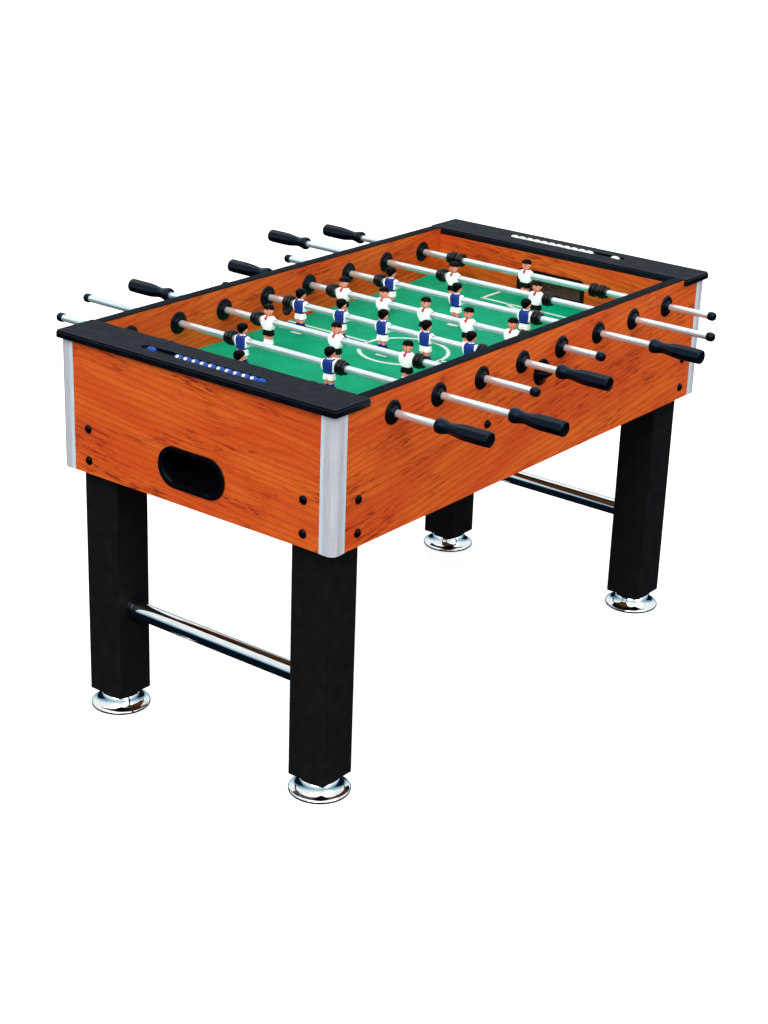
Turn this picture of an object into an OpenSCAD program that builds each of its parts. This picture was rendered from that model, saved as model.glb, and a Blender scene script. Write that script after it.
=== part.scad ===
// Eight-rod foosball table, built as the separate pieces that it comes apart into.
// Millimetres. The origin is on the floor under the middle of the table. X runs along
// the table, Y across it and along the rods, and Z is up. The near end is at -X and the
// near side is at -Y; the far end and the far side are the opposite ones.

/* [Table] */
// Length over the two end boards
table_l = 1422; // [1410:1:1440]
// Width over the end boards
table_w = 762; // [758:1:780]
// Height of the end boards' top face above the floor
table_h = 880; // [860:1:920]
// Depth of the wooden cabinet, from its bottom edge to its top
cabinet_h = 305; // [295:1:320]

/* [Cabinet] */
// Thickness of the side panels and the end panels
panel_t = 27; // [25:1:29]
// How far the end boards stand out past the end panels
end_overhang = 10; // [8:1:12]
// How far the end boards stand out past the side panels
side_overhang = 7; // [6:1:10]
// Width of each end board
board_w = 110; // [106:1:112]
// Thickness of each end board
board_t = 16.5; // [15:0.5:18]
// Thickness of the inner wall with the goal
goal_wall_t = 18; // [14:1:20]
// Depth of the green face below the rods' centre line
field_drop = 74; // [74:1:78]
// Thickness of the playfield
field_t = 9; // [6:1:12]
// Rise of the playfield's raised corners
corner_rise = 9; // [4:1:12]
// Length of each raised corner along the walls
corner_run = 150; // [100:5:160]

/* [Goals] */
// Width of a goal over its black trim
goal_w = 200; // [190:1:210]
// Height of a goal over its black trim
goal_h = 66; // [60:1:68]
// Width of the ball return's flange
return_w = 184; // [170:1:190]
// Height of the ball return's flange
return_h = 90; // [84:1:94]

/* [Legs] */
// Width of the square legs
leg_w = 95; // [90:1:98]
// Gap between the side panels' inner face and the legs
leg_packing = 6; // [5:1:8]
// Largest diameter of the leg levelers
leveler_d = 133; // [110:1:136]
// Height of the legs' bottom end above the floor
leg_bottom = 39.5; // [38:0.5:45]
// Diameter of the cross tubes
tube_d = 40; // [32:1:44]
// Height of the cross tubes above the floor
tube_z = 249; // [200:1:320]

/* [Rods] */
// Distance between neighbouring rods
rod_pitch = 150; // [149:1:151]
// Depth of the rods' centre line below the table's top
rod_drop = 50; // [46:1:52]
// Diameter of the rods
rod_d = 16; // [15:0.5:16.5]
// Running clearance around a rod, on the radius
running = 0.05; // [0.02:0.01:0.1]
// Width of one player over the arms
player_w = 40; // [36:1:43]
// Reach of a player's feet below the rod
foot_reach = 54; // [50:1:58]
// Length of one rubber bumper
bumper_l = 23; // [20:1:26]
// Length of a handle
handle_l = 126; // [115:1:135]
// Diameter of a handle's grip
grip_d = 34; // [30:1:36]

/* [Hidden] */

$fn = 64;
eps = 0.5;

// Cabinet
cab_x = table_l / 2 - end_overhang;
cab_y = table_w / 2 - side_overhang;
cab_z = table_h - cabinet_h;
board_z = table_h - board_t;
board_inner_x = table_l / 2 - board_w;
inner_y = cab_y - panel_t;
inner_x = cab_x - panel_t;
rail_t = 2;
corner_r = 14;
trim_t = 2;
trim_w = 37;
rod_z = table_h - rod_drop;
field_z = rod_z - field_drop;
field_x = board_inner_x + goal_wall_t;
board_corner_r = 6;
board_step_t = 4.5;
board_step_in = 2;

// Battens under the playfield, and the packing beside the legs
batten_x = 197;
batten_w = 40;
batten_h = 52;
ledger_w = 18;
ledger_h = 30;
ledger_x = 560;

// Goals and ball returns
liner_band = 11;
liner_lip = 2;
liner_wall = 2.5;
liner_r = 16;
return_z = cab_z + 79;
return_lip = 3;
return_rim = 6;
return_wall = 3;
bin_depth = 62;
bin_bottom = return_z - return_h / 2 - 1;
bin_top = field_z - field_t - 2;

// Ball entries
entry_z = rod_z - 40;
entry_flange_r = 30;
entry_flange_t = 3;
entry_r = 19.5;
entry_tube_r = 21.5;
scoop_r = 27;
scoop_t = 3;

// Legs, tubes and levelers
leg_x = inner_x - leg_w / 2;
leg_y = inner_y - leg_packing - leg_w / 2;
leg_top = field_z - field_t - ledger_h - 1;
leg_wall = 14;
leg_floor = 30;
leg_edge_r = 3;
tube_wall = 1.5;
tube_reach = leg_y - leg_w / 2 + leg_wall;
socket_r = 27;
socket_t = 5;
stud_r = 5;
stud_top = 70;

// Screws
bolt_r = 4;
bolt_head_r = 9.5;
bolt_head_t = 5.5;
bolt_l = 46;
bolt_z = [cab_z + 30, cab_z + 101];
bolt_y = leg_y + 4;
screw_r = 2.5;
screw_head_r = 6.5;
screw_head_t = 6;
screw_l = 60;
screw_z = cab_z + 146;

// Bushes
bush_flange_r = 25.5;
bush_flange_t = 4;
bush_rim_t = 1.2;
bush_barrel_r = 11.5;
bush_out = 11;
nut_t = 9;
nut_flange_t = 4;
nut_hub_r = 15;
thread_gap = 0.1;
rod_r = rod_d / 2;

// Rods, from the near end to the far end
rod_count = 8;
men = [1, 2, 3, 5, 5, 3, 2, 1];
handle_side = [-1, -1, 1, -1, 1, -1, 1, 1];
rest_shift = [30, 33, 16, 4, -2, 19, 15, 25];
handle_start = [513, 586, 500, 470, 475, 532, 590, 518];
cap_start = [524, 593, 515, 467, 465, 514, 583, 513];
goalie_stop = 190;
bumper_gap = 2.5;
bumper_r = 17;
bumper_core_r = 14.5;
bumper_ribs = 3;
cap_l = 18;
cap_r = 10.5;
cap_grip = 12;
handle_hold = 100;
pin_r = 1.6;
head_r = 12.5;

// Scorers
slot_x = table_l / 2 - 46;
slot_l = 340;
slot_w = 24;
slot_depth = 14;
wire_r = 2;
wire_z = table_h - 5.5;
wire_hold = 8;
bead_l = 22;
bead_r = 8;
bead_end_r = 5.5;
bead_pitch = 22.4;
beads_waiting = 11;
row_end = 2;
scored_y = 143;

function rod_x(k) = (k - (rod_count + 1) / 2) * rod_pitch;
function man_gap(n) = n == 2 ? 245 : n == 3 ? 196 : 121;
function man_y(n, i) = (i - (n - 1) / 2) * (n == 1 ? 0 : man_gap(n));
function bumper_start(n) = n == 1 ? goalie_stop : man_y(n, n - 1) + player_w / 2 + bumper_gap;
function bumpers_each_side(n) = n == 1 ? 2 : 1;

// Turns local Z into the direction of the rod's handle, from the middle of the rod.
module along_rod(k) {
    translate([rod_x(k), rest_shift[k - 1], rod_z])
        rotate([-90 * handle_side[k - 1], 0, 0])
            children();
}

module rounded_rect(size_x, size_y, r) {
    square([size_x - 2 * r, size_y], center = true);
    square([size_x, size_y - 2 * r], center = true);
    for (sx = [-1, 1], sy = [-1, 1])
        translate([sx * (size_x / 2 - r), sy * (size_y / 2 - r)]) circle(r = r);
}

module stadium(size_x, size_y) {
    square([size_x - size_y, size_y], center = true);
    for (s = [-1, 1]) translate([s * (size_x - size_y) / 2, 0]) circle(d = size_y);
}

// A square-footed shape with rounded upper corners, standing on y = 0.
module arch(w, h, r) {
    translate([-w / 2, 0]) square([w, h - r]);
    translate([-w / 2 + r, 0]) square([w - 2 * r, h]);
    for (s = [-1, 1]) translate([s * (w / 2 - r), h - r]) circle(r = r);
}

// The two ends and the two sides are the same construction turned half way round.
module both_ways() {
    children();
    rotate([0, 0, 180]) children();
}

// Lays a flat shape in the plane across the table, and thickens it along +X from x.
module across(x, thickness) {
    translate([x, 0, 0]) rotate([90, 0, 90]) linear_extrude(thickness) children();
}

// ---- Rods ----

module rod_bar(k) {
    n = men[k - 1];
    low = -(cap_start[k - 1] + cap_grip);
    high = handle_start[k - 1] + handle_hold;
    color("silver") along_rod(k)
        difference() {
            translate([0, 0, low]) cylinder(r = rod_r, h = high - low);
            for (i = [0:n - 1])
                translate([0, 0, man_y(n, i)]) rotate([90, 0, 0])
                    cylinder(r = pin_r, h = 3 * rod_r, center = true);
        }
}

// One player on its rod, looking along +X: the rod runs through the shoulders.
module player() {
    half = player_w / 2;
    front = [
        [-8, 16], [-half + 5, 12], [-half, 7], [-half, -9], [-half + 3, -13], [-13, -15], [-13.5, -32],
        [-11, -34], [-10, -44], [-11, -foot_reach], [11, -foot_reach], [10, -44], [11, -34],
        [13.5, -32], [13, -15], [half - 3, -13], [half, -9], [half, 7], [half - 5, 12], [8, 16],
    ];
    side = [
        [-6, 16], [-11, 11], [-13, 4], [-12, -17], [-11.5, -32], [-8.5, -34], [-8, -44],
        [-9, -foot_reach], [13, -foot_reach], [13, -50], [8, -44], [8.5, -34], [11.5, -32],
        [12, -17], [13, 4], [11, 11], [6, 16],
    ];
    difference() {
        union() {
            intersection() {
                rotate([90, 0, 90]) translate([0, 0, -15]) linear_extrude(30) polygon(front);
                rotate([90, 0, 0]) translate([0, 0, -half]) linear_extrude(player_w) polygon(side);
            }
            translate([0, 0, 10]) cylinder(r = 6.5, h = 12);
            translate([0, 0, 27]) sphere(r = head_r);
        }
        rotate([90, 0, 0]) cylinder(r = rod_r, h = 2 * player_w, center = true);
    }
}

module rod_players(k) {
    n = men[k - 1];
    facing_far = handle_side[k - 1] < 0;
    color(facing_far ? "mediumblue" : "whitesmoke")
        for (i = [0:n - 1])
            translate([rod_x(k), rest_shift[k - 1] + man_y(n, i), rod_z])
                rotate([0, 0, facing_far ? 0 : 180]) {
                    player();
                    cylinder(r = pin_r, h = 2 * rod_r, center = true);
                }
}

// The handle pushed on one end of the rod and the rubber cap on its other end.
module rod_grips(k) {
    grip_r = grip_d / 2;
    handle = [
        [0, 0], [13, 0], [15.5, 3], [16, 8], [15, 14], [12, 27], [12, 34], [14.5, 48],
        [grip_r - 0.5, 61], [grip_r, 72], [grip_r, handle_l - 6], [grip_r - 4, handle_l - 1],
        [grip_r - 7, handle_l], [0, handle_l],
    ];
    cap = [
        [0, 0], [cap_r - 2, 0], [cap_r - 0.5, 2], [cap_r, 5], [cap_r, cap_l - 7],
        [cap_r - 1.5, cap_l - 3.5], [cap_r - 4, cap_l - 1], [cap_r - 6, cap_l], [0, cap_l],
    ];
    color("black") along_rod(k) {
        difference() {
            translate([0, 0, handle_start[k - 1]]) rotate_extrude() polygon(handle);
            translate([0, 0, handle_start[k - 1] - eps]) cylinder(r = rod_r, h = handle_hold + eps);
        }
        difference() {
            translate([0, 0, -cap_start[k - 1]]) mirror([0, 0, 1]) rotate_extrude() polygon(cap);
            translate([0, 0, -cap_start[k - 1] - cap_grip]) cylinder(r = rod_r, h = cap_grip + eps);
        }
    }
}

module bumper() {
    rib = bumper_l / bumper_ribs;
    difference() {
        union() {
            cylinder(r = bumper_core_r, h = bumper_l);
            for (i = [0:bumper_ribs - 1])
                translate([0, 0, i * rib + 1]) cylinder(r = bumper_r, h = rib - 2);
        }
        translate([0, 0, -eps]) cylinder(r = rod_r + running, h = bumper_l + 2 * eps);
    }
}

module rod_bumpers(k) {
    n = men[k - 1];
    color("dimgray") along_rod(k)
        for (s = [0, 1], i = [0:bumpers_each_side(n) - 1])
            mirror([0, 0, s])
                translate([0, 0, bumper_start(n) + i * (bumper_l + 1)]) bumper();
}

// ---- Cabinet ----

module cabinet_outline(grow = 0) {
    rounded_rect(2 * (cab_x + grow), 2 * (cab_y + grow), corner_r + grow);
}

// The side panel on the -Y side. The bored holes take the bushes, the ball entry, the
// leg bolts and the batten screws.
module side_panel() {
    color("chocolate") difference() {
        translate([0, 0, cab_z]) linear_extrude(cabinet_h - rail_t)
            intersection() {
                cabinet_outline();
                translate([-cab_x, -cab_y]) square([2 * cab_x, panel_t]);
            }
        for (s = [-1, 1])
            translate([s * (board_inner_x + table_l / 2) / 2, 0, board_z + board_t / 2])
                cube([board_w, table_w, board_t], center = true);
        for (k = [1:rod_count]) side_hole(rod_x(k), rod_z, bush_barrel_r);
        side_hole(0, entry_z, entry_tube_r);
        for (s = [-1, 1], z = bolt_z) side_hole(s * leg_x, z, bolt_r);
        for (s = [-1, 1]) side_hole(s * batten_x, screw_z, screw_r);
    }
}

module side_hole(x, z, r) {
    translate([x, -inner_y + eps, z]) rotate([90, 0, 0]) cylinder(r = r, h = panel_t + 2 * eps);
}

module end_panels() {
    color("chocolate") both_ways() difference() {
        translate([-cab_x, -inner_y, cab_z]) cube([panel_t, 2 * inner_y, board_z - cab_z]);
        translate([0, 0, return_z]) across(-cab_x - eps, panel_t + 2 * eps)
            stadium(return_w - 2 * return_rim, return_h - 2 * return_rim);
        for (s = [-1, 1], z = bolt_z)
            translate([-cab_x - eps, s * bolt_y, z]) rotate([0, 90, 0])
                cylinder(r = bolt_r, h = panel_t + 2 * eps);
    }
}

module goal_walls() {
    color("chocolate") both_ways() difference() {
        translate([-field_x, -inner_y, field_z])
            cube([goal_wall_t, 2 * inner_y, board_z - field_z]);
        translate([0, 0, field_z - eps]) across(-field_x - eps, goal_wall_t + 2 * eps)
            arch(goal_w - 2 * (liner_band - liner_wall), goal_h - liner_band + liner_wall + eps,
                liner_r - liner_band + liner_wall);
    }
}

// The green board, with a low ramp up into each of its four corners.
module playfield() {
    color("mediumseagreen") {
        translate([-field_x, -inner_y, field_z - field_t])
            cube([2 * field_x, 2 * inner_y, field_t]);
        for (sx = [-1, 1], sy = [-1, 1])
            translate([sx * board_inner_x, sy * inner_y, field_z])
                corner_ramp(-sx, -sy);
    }
}

// A right-angled wedge that is highest in its corner and runs out along the diagonal.
module corner_ramp(sx, sy) {
    polyhedron(
        points = [[0, 0, 0], [sx * corner_run, 0, 0], [0, sy * corner_run, 0], [0, 0, corner_rise]],
        faces = sx * sy > 0
            ? [[0, 1, 2], [0, 3, 1], [0, 2, 3], [1, 3, 2]]
            : [[0, 2, 1], [0, 1, 3], [0, 3, 2], [1, 2, 3]]
    );
}

// Two cross battens and two ledgers carry the playfield; a packing piece beside each leg
// fills the gap to the side panel.
module inner_battens() {
    top = field_z - field_t;
    color("burlywood") {
        for (s = [-1, 1])
            difference() {
                translate([s * batten_x - batten_w / 2, -inner_y, top - batten_h])
                    cube([batten_w, 2 * inner_y, batten_h]);
                for (t = [-1, 1])
                    translate([s * batten_x, t * inner_y, screw_z]) rotate([90, 0, 0])
                        cylinder(r = screw_r, h = 2 * (screw_l - panel_t), center = true);
            }
        for (s = [-1, 1])
            difference() {
                translate([-ledger_x, s * (inner_y - ledger_w / 2) - ledger_w / 2, top - ledger_h])
                    cube([2 * ledger_x, ledger_w, ledger_h]);
                for (t = [-1, 1])
                    translate([t * batten_x - batten_w / 2 - 1, -inner_y, top - ledger_h - 1])
                        cube([batten_w + 2, 2 * inner_y, ledger_h + 2]);
            }
        for (sx = [-1, 1], sy = [-1, 1])
            difference() {
                translate([sx * leg_x - leg_w / 2, sy * (inner_y - leg_packing / 2) - leg_packing / 2, cab_z])
                    cube([leg_w, leg_packing, leg_top - cab_z]);
                for (z = bolt_z)
                    translate([sx * leg_x, sy * inner_y, z]) rotate([90, 0, 0])
                        cylinder(r = bolt_r, h = 4 * leg_packing, center = true);
            }
    }
}

// The board on top of the near end, with the long recess for the scoring beads.
module end_board() {
    mid_x = -(table_l - board_w) / 2;
    color("darkslategray") difference() {
        union() {
            translate([mid_x, 0, board_z]) linear_extrude(board_t - board_step_t)
                rounded_rect(board_w, table_w, board_corner_r);
            translate([mid_x, 0, board_z]) linear_extrude(board_t)
                rounded_rect(board_w - 2 * board_step_in, table_w - 2 * board_step_in, board_corner_r - 1);
        }
        translate([-slot_x, 0, table_h - slot_depth]) rotate([0, 0, 90])
            linear_extrude(slot_depth + eps) stadium(slot_l, slot_w);
        translate([-slot_x, 0, wire_z]) rotate([90, 0, 0])
            cylinder(r = wire_r, h = slot_l + 2 * wire_hold, center = true);
    }
}

module side_rails() {
    color("black")
        for (s = [-1, 1])
            translate([-board_inner_x, s * (inner_y + panel_t / 2) - panel_t / 2, table_h - rail_t])
                cube([2 * board_inner_x, panel_t, rail_t]);
}

module corner_trims() {
    color("silver") translate([0, 0, cab_z]) linear_extrude(board_z - cab_z)
        intersection() {
            difference() {
                cabinet_outline(trim_t);
                cabinet_outline();
            }
            for (sx = [-1, 1], sy = [-1, 1])
                translate([sx * (cab_x + trim_t - trim_w / 2), sy * (cab_y + trim_t - trim_w / 2)])
                    square(trim_w, center = true);
        }
}

// ---- Legs ----

module at_legs() {
    for (sx = [-1, 1], sy = [-1, 1]) translate([sx * leg_x, sy * leg_y, 0]) children();
}

module legs() {
    inside = leg_w - 2 * leg_wall;
    color("#1c1c1e") difference() {
        at_legs() difference() {
            translate([0, 0, leg_bottom]) linear_extrude(leg_top - leg_bottom)
                rounded_rect(leg_w, leg_w, leg_edge_r);
            translate([-inside / 2, -inside / 2, leg_bottom + leg_floor])
                cube([inside, inside, leg_top - leg_bottom]);
            translate([0, 0, leg_bottom - eps]) cylinder(r = stud_r + running, h = leg_floor + 2 * eps);
        }
        leg_bolt_shanks();
        for (s = [-1, 1]) cross_bar(s, tube_d / 2, tube_reach);
    }
}

// A straight round bar from one leg of an end to the other.
module cross_bar(s, r, reach) {
    translate([s * leg_x, 0, tube_z]) rotate([90, 0, 0])
        cylinder(r = r, h = 2 * reach, center = true);
}

// The tubes are let into the legs' inner walls.
module cross_tubes() {
    color("lightgray")
        for (s = [-1, 1])
            difference() {
                cross_bar(s, tube_d / 2, tube_reach);
                cross_bar(s, tube_d / 2 - tube_wall, tube_reach + eps);
            }
}

module tube_sockets() {
    color("black")
        for (sx = [-1, 1], sy = [-1, 1])
            translate([sx * leg_x, sy * (leg_y - leg_w / 2), tube_z]) rotate([sy * 90, 0, 0])
                difference() {
                    union() {
                        cylinder(r = socket_r, h = socket_t - 2);
                        cylinder(r = socket_r - 2, h = socket_t);
                    }
                    translate([0, 0, -eps]) cylinder(r = tube_d / 2, h = socket_t + 2 * eps);
                }
}

// One chrome foot: a wide bell with a rolled rim, and a stud that screws into the leg.
module leveler(sx, sy) {
    r = leveler_d / 2;
    bell = [
        [0, 0], [r - 4, 0], [r - 1, 1.5], [r, 4], [r - 1, 7], [r - 4, 9.5], [r - 10, 15],
        [r - 17, 24], [r - 22, 31], [r - 25, 34], [r - 29, 35.5], [18, 36], [16, leg_bottom - 0.4],
        [0, leg_bottom - 0.4],
    ];
    color("gainsboro") translate([sx * leg_x, sy * leg_y, 0]) {
        rotate_extrude() polygon(bell);
        translate([0, 0, leg_bottom - 5]) cylinder(r = stud_r, h = stud_top - leg_bottom + 5);
    }
}

// ---- Bushes, cups and liners ----

module at_bushes() {
    for (k = [1:rod_count], s = [0, 1])
        translate([rod_x(k), 0, rod_z]) mirror([0, s, 0]) translate([0, -cab_y, 0])
            rotate([90, 0, 0]) children();
}

// A flanged bush pushed through the side panel from outside.
module rod_bushes() {
    profile = [
        [rod_r + running, -panel_t - nut_t], [bush_barrel_r, -panel_t - nut_t], [bush_barrel_r, 0],
        [bush_flange_r, 0], [bush_flange_r, bush_rim_t], [bush_flange_r - 4, bush_flange_t],
        [bush_barrel_r + 3, bush_flange_t], [bush_barrel_r + 1, bush_out - 2],
        [bush_barrel_r - 1, bush_out], [rod_r + running, bush_out],
    ];
    color("black") at_bushes() rotate_extrude() polygon(profile);
}

// The flanged nut that holds each bush from inside.
module bush_nuts() {
    profile = [
        [bush_barrel_r + thread_gap, -nut_t], [nut_hub_r - 1, -nut_t], [nut_hub_r, -nut_flange_t],
        [bush_flange_r - 4, -nut_flange_t], [bush_flange_r, -bush_rim_t], [bush_flange_r, 0],
        [bush_barrel_r + thread_gap, 0],
    ];
    color("black") at_bushes() translate([0, 0, -panel_t]) rotate_extrude() polygon(profile);
}

// A round flange on the side panel, a tube through it, and a scoop for the ball outside.
module ball_entry_cups() {
    color("black") both_ways() translate([0, -cab_y, entry_z]) {
        rotate([90, 0, 0]) difference() {
            union() {
                cylinder(r = entry_flange_r, h = entry_flange_t);
                translate([0, 0, -panel_t - 2]) cylinder(r = entry_tube_r, h = panel_t + 2 + eps);
            }
            translate([0, 0, -panel_t - 2 - eps])
                cylinder(r = entry_r, h = panel_t + entry_flange_t + 3 + eps);
        }
        intersection() {
            difference() {
                sphere(r = scoop_r);
                sphere(r = scoop_r - scoop_t);
            }
            translate([-scoop_r, -scoop_r, -scoop_r])
                cube([2 * scoop_r, scoop_r - entry_flange_t + eps, scoop_r + 3]);
        }
    }
}

// The oval pocket in the end panel: its flange, its neck, and the bin that the balls
// drop into behind the goal, open at the top.
module ball_return_cups() {
    neck_w = return_w - 2 * return_rim;
    neck_h = return_h - 2 * return_rim;
    bin_w = return_w + 2;
    bin_x = -cab_x + panel_t;
    color("#101012") both_ways() {
        difference() {
            union() {
                translate([0, 0, return_z]) across(-cab_x - return_lip, return_lip)
                    stadium(return_w, return_h);
                translate([0, 0, return_z]) across(-cab_x - eps, panel_t + 2 * eps)
                    stadium(neck_w, neck_h);
                translate([bin_x, -bin_w / 2, bin_bottom]) cube([bin_depth, bin_w, bin_top - bin_bottom]);
            }
            translate([0, 0, return_z]) across(-cab_x - return_lip - eps, panel_t + bin_depth)
                stadium(neck_w - 2 * return_wall, neck_h - 2 * return_wall);
            translate([bin_x + return_wall, -bin_w / 2 + return_wall, return_z - neck_h / 2 + return_wall])
                cube([bin_depth - 2 * return_wall, bin_w - 2 * return_wall, bin_top]);
        }
        translate([bin_x + return_wall, bin_w / 2 - return_wall, return_z - neck_h / 2 + return_wall])
            rotate([90, 0, 0]) linear_extrude(bin_w - 2 * return_wall)
                polygon([[0, 0], [bin_depth - 2 * return_wall, 0], [bin_depth - 2 * return_wall, 8]]);
    }
}

// The black plastic arch that lines a goal, with its band on the playing side.
module goal_liners() {
    inner_w = goal_w - 2 * liner_band;
    inner_h = goal_h - liner_band;
    inner_r = liner_r - liner_band;
    color("#161618") both_ways() translate([0, 0, field_z]) difference() {
        union() {
            across(-board_inner_x, liner_lip) arch(goal_w, goal_h, liner_r);
            across(-field_x, goal_wall_t + eps)
                arch(inner_w + 2 * liner_wall, inner_h + liner_wall, inner_r + liner_wall);
        }
        translate([0, 0, -eps]) across(-field_x - eps, goal_wall_t + liner_lip + 2 * eps)
            arch(inner_w, inner_h + eps, inner_r);
    }
}

// ---- Screws ----

module domed_head(r, t) {
    intersection() {
        cylinder(r = r, h = t);
        translate([0, 0, t - r * 1.5]) sphere(r = r * 1.5);
    }
}

module leg_bolt_shanks() {
    for (sx = [0, 1], sy = [0, 1], z = bolt_z)
        mirror([sx, 0, 0]) mirror([0, sy, 0]) {
            translate([-cab_x, -bolt_y, z]) rotate([0, 90, 0]) cylinder(r = bolt_r, h = bolt_l);
            translate([-leg_x, -cab_y, z]) rotate([-90, 0, 0]) cylinder(r = bolt_r, h = bolt_l + leg_packing);
        }
}

module cabinet_screws() {
    color("#141416") {
        leg_bolt_shanks();
        for (sx = [0, 1], sy = [0, 1]) mirror([sx, 0, 0]) mirror([0, sy, 0]) {
            for (z = bolt_z) {
                translate([-cab_x, -bolt_y, z]) rotate([0, -90, 0]) domed_head(bolt_head_r, bolt_head_t);
                translate([-leg_x, -cab_y, z]) rotate([90, 0, 0]) domed_head(bolt_head_r, bolt_head_t);
            }
            translate([-batten_x, -cab_y, screw_z]) rotate([90, 0, 0]) {
                domed_head(screw_head_r, screw_head_t);
                translate([0, 0, -screw_l]) cylinder(r = screw_r, h = screw_l + eps);
            }
        }
    }
}

// ---- Scorers ----

module scorer_wires() {
    color("silver") both_ways() translate([-slot_x, 0, wire_z]) rotate([90, 0, 0])
        cylinder(r = wire_r, h = slot_l + 2 * wire_hold, center = true);
}

// A barrel-shaped bead, bored for the wire, centred on the near scorer's wire at y.
module bead(y) {
    profile = [
        [wire_r + running, -bead_l / 2], [bead_end_r, -bead_l / 2], [bead_r - 0.8, -bead_l / 4],
        [bead_r, 0], [bead_r - 0.8, bead_l / 4], [bead_end_r, bead_l / 2],
        [wire_r + running, bead_l / 2],
    ];
    translate([-slot_x, y, wire_z]) rotate([90, 0, 0]) rotate_extrude() polygon(profile);
}

module waiting_beads() {
    for (i = [0:beads_waiting - 1])
        bead(-slot_l / 2 + row_end + bead_pitch * (i + 0.5));
}

module side_panel_near() { side_panel(); }
module side_panel_far() { mirror([0, 1, 0]) side_panel(); }
module end_board_near() { end_board(); }
module end_board_far() { rotate([0, 0, 180]) end_board(); }
module scored_bead_near() { color("royalblue") bead(scored_y); }
module waiting_beads_near() { color("royalblue") waiting_beads(); }
module scored_bead_far() { color("white") rotate([0, 0, 180]) bead(scored_y); }
module waiting_beads_far() { color("white") rotate([0, 0, 180]) waiting_beads(); }

for (k = [1:rod_count]) {
    rod_bar(k);
    rod_players(k);
    rod_grips(k);
    rod_bumpers(k);
}
side_panel_near();
side_panel_far();
end_panels();
goal_walls();
playfield();
inner_battens();
end_board_near();
end_board_far();
side_rails();
corner_trims();
legs();
cross_tubes();
tube_sockets();
rod_bushes();
bush_nuts();
ball_entry_cups();
ball_return_cups();
goal_liners();
cabinet_screws();
scorer_wires();
scored_bead_near();
waiting_beads_near();
scored_bead_far();
waiting_beads_far();
leveler(-1, 1);  // leveler_near_left
leveler(-1, -1);  // leveler_near_right
leveler(1, 1);  // leveler_far_left
leveler(1, -1);  // leveler_far_right
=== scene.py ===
import math
import bmesh
import bpy
import numpy as np
from mathutils import Matrix, Vector


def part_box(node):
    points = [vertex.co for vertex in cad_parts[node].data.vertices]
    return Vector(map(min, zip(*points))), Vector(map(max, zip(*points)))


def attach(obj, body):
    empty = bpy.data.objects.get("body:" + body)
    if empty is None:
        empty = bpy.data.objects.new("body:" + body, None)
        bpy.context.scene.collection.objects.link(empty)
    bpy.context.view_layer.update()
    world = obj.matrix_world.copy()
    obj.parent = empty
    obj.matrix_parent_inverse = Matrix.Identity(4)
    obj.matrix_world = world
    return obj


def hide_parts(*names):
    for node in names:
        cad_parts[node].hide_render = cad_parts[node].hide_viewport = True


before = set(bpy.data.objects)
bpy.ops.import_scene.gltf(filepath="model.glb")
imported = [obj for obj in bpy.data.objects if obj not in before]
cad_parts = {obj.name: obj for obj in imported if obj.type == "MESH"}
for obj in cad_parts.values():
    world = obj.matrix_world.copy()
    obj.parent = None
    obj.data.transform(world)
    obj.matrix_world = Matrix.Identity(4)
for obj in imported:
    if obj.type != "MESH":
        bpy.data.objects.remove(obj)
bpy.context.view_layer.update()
print("frame loaded:", len(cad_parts), "solids")

# Everything below is worked out in millimetres and turned to metres when it becomes a mesh.

# camera and light

cameraSettings = {
    "place": (-3351.2, -2518.2, 2053.4),
    "azimuth": -52.645,
    "elevation": 22.015,
    "roll": 2.029,
    "lens": 67.43,
    "filmWide": 36,
    "farthest": 100,  # metres
}


def setCamera(s):
    az, el, roll = (math.radians(s[k]) for k in ("azimuth", "elevation", "roll"))
    back = np.array([math.sin(az) * math.cos(el), -math.cos(az) * math.cos(el), math.sin(el)])
    right = np.cross([0, 0, 1], back)
    right /= np.linalg.norm(right)
    up = np.cross(back, right)
    axes = [math.cos(roll) * right + math.sin(roll) * up, math.cos(roll) * up - math.sin(roll) * right, back]
    data = bpy.data.cameras.new("tableCamera")
    data.lens = s["lens"]
    data.sensor_width = s["filmWide"]
    data.clip_end = s["farthest"]
    camera = bpy.data.objects.new("tableCamera", data)
    bpy.context.scene.collection.objects.link(camera)
    place = Matrix.Translation(np.array(s["place"]) * 0.001)
    camera.matrix_world = place @ Matrix(np.array(axes).T).to_4x4()
    bpy.context.scene.camera = camera


studio = {
    "surround": 0.45,  # soft white light from everywhere
    # name, direction that the light comes from, strength, apparent width in degrees
    "lamps": [
        ("keyLight", (-0.66, -0.22, 0.72), 1.75, 42),
        ("sideLight", (-0.10, -0.80, 0.60), 0.95, 50),
        ("topLight", (0.05, 0.10, 1.0), 0.7, 60),
    ],
    # what polished metal finds in the room: sine of the height above the horizon, and colour
    "room": [(-0.08, "#08131f"), (0.02, "#5f86a0"), (0.16, "#a1c6d5"), (0.34, "#f0fbfc"), (0.6, "#ffffff")],
    "roomBright": 1.12,
}


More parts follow.
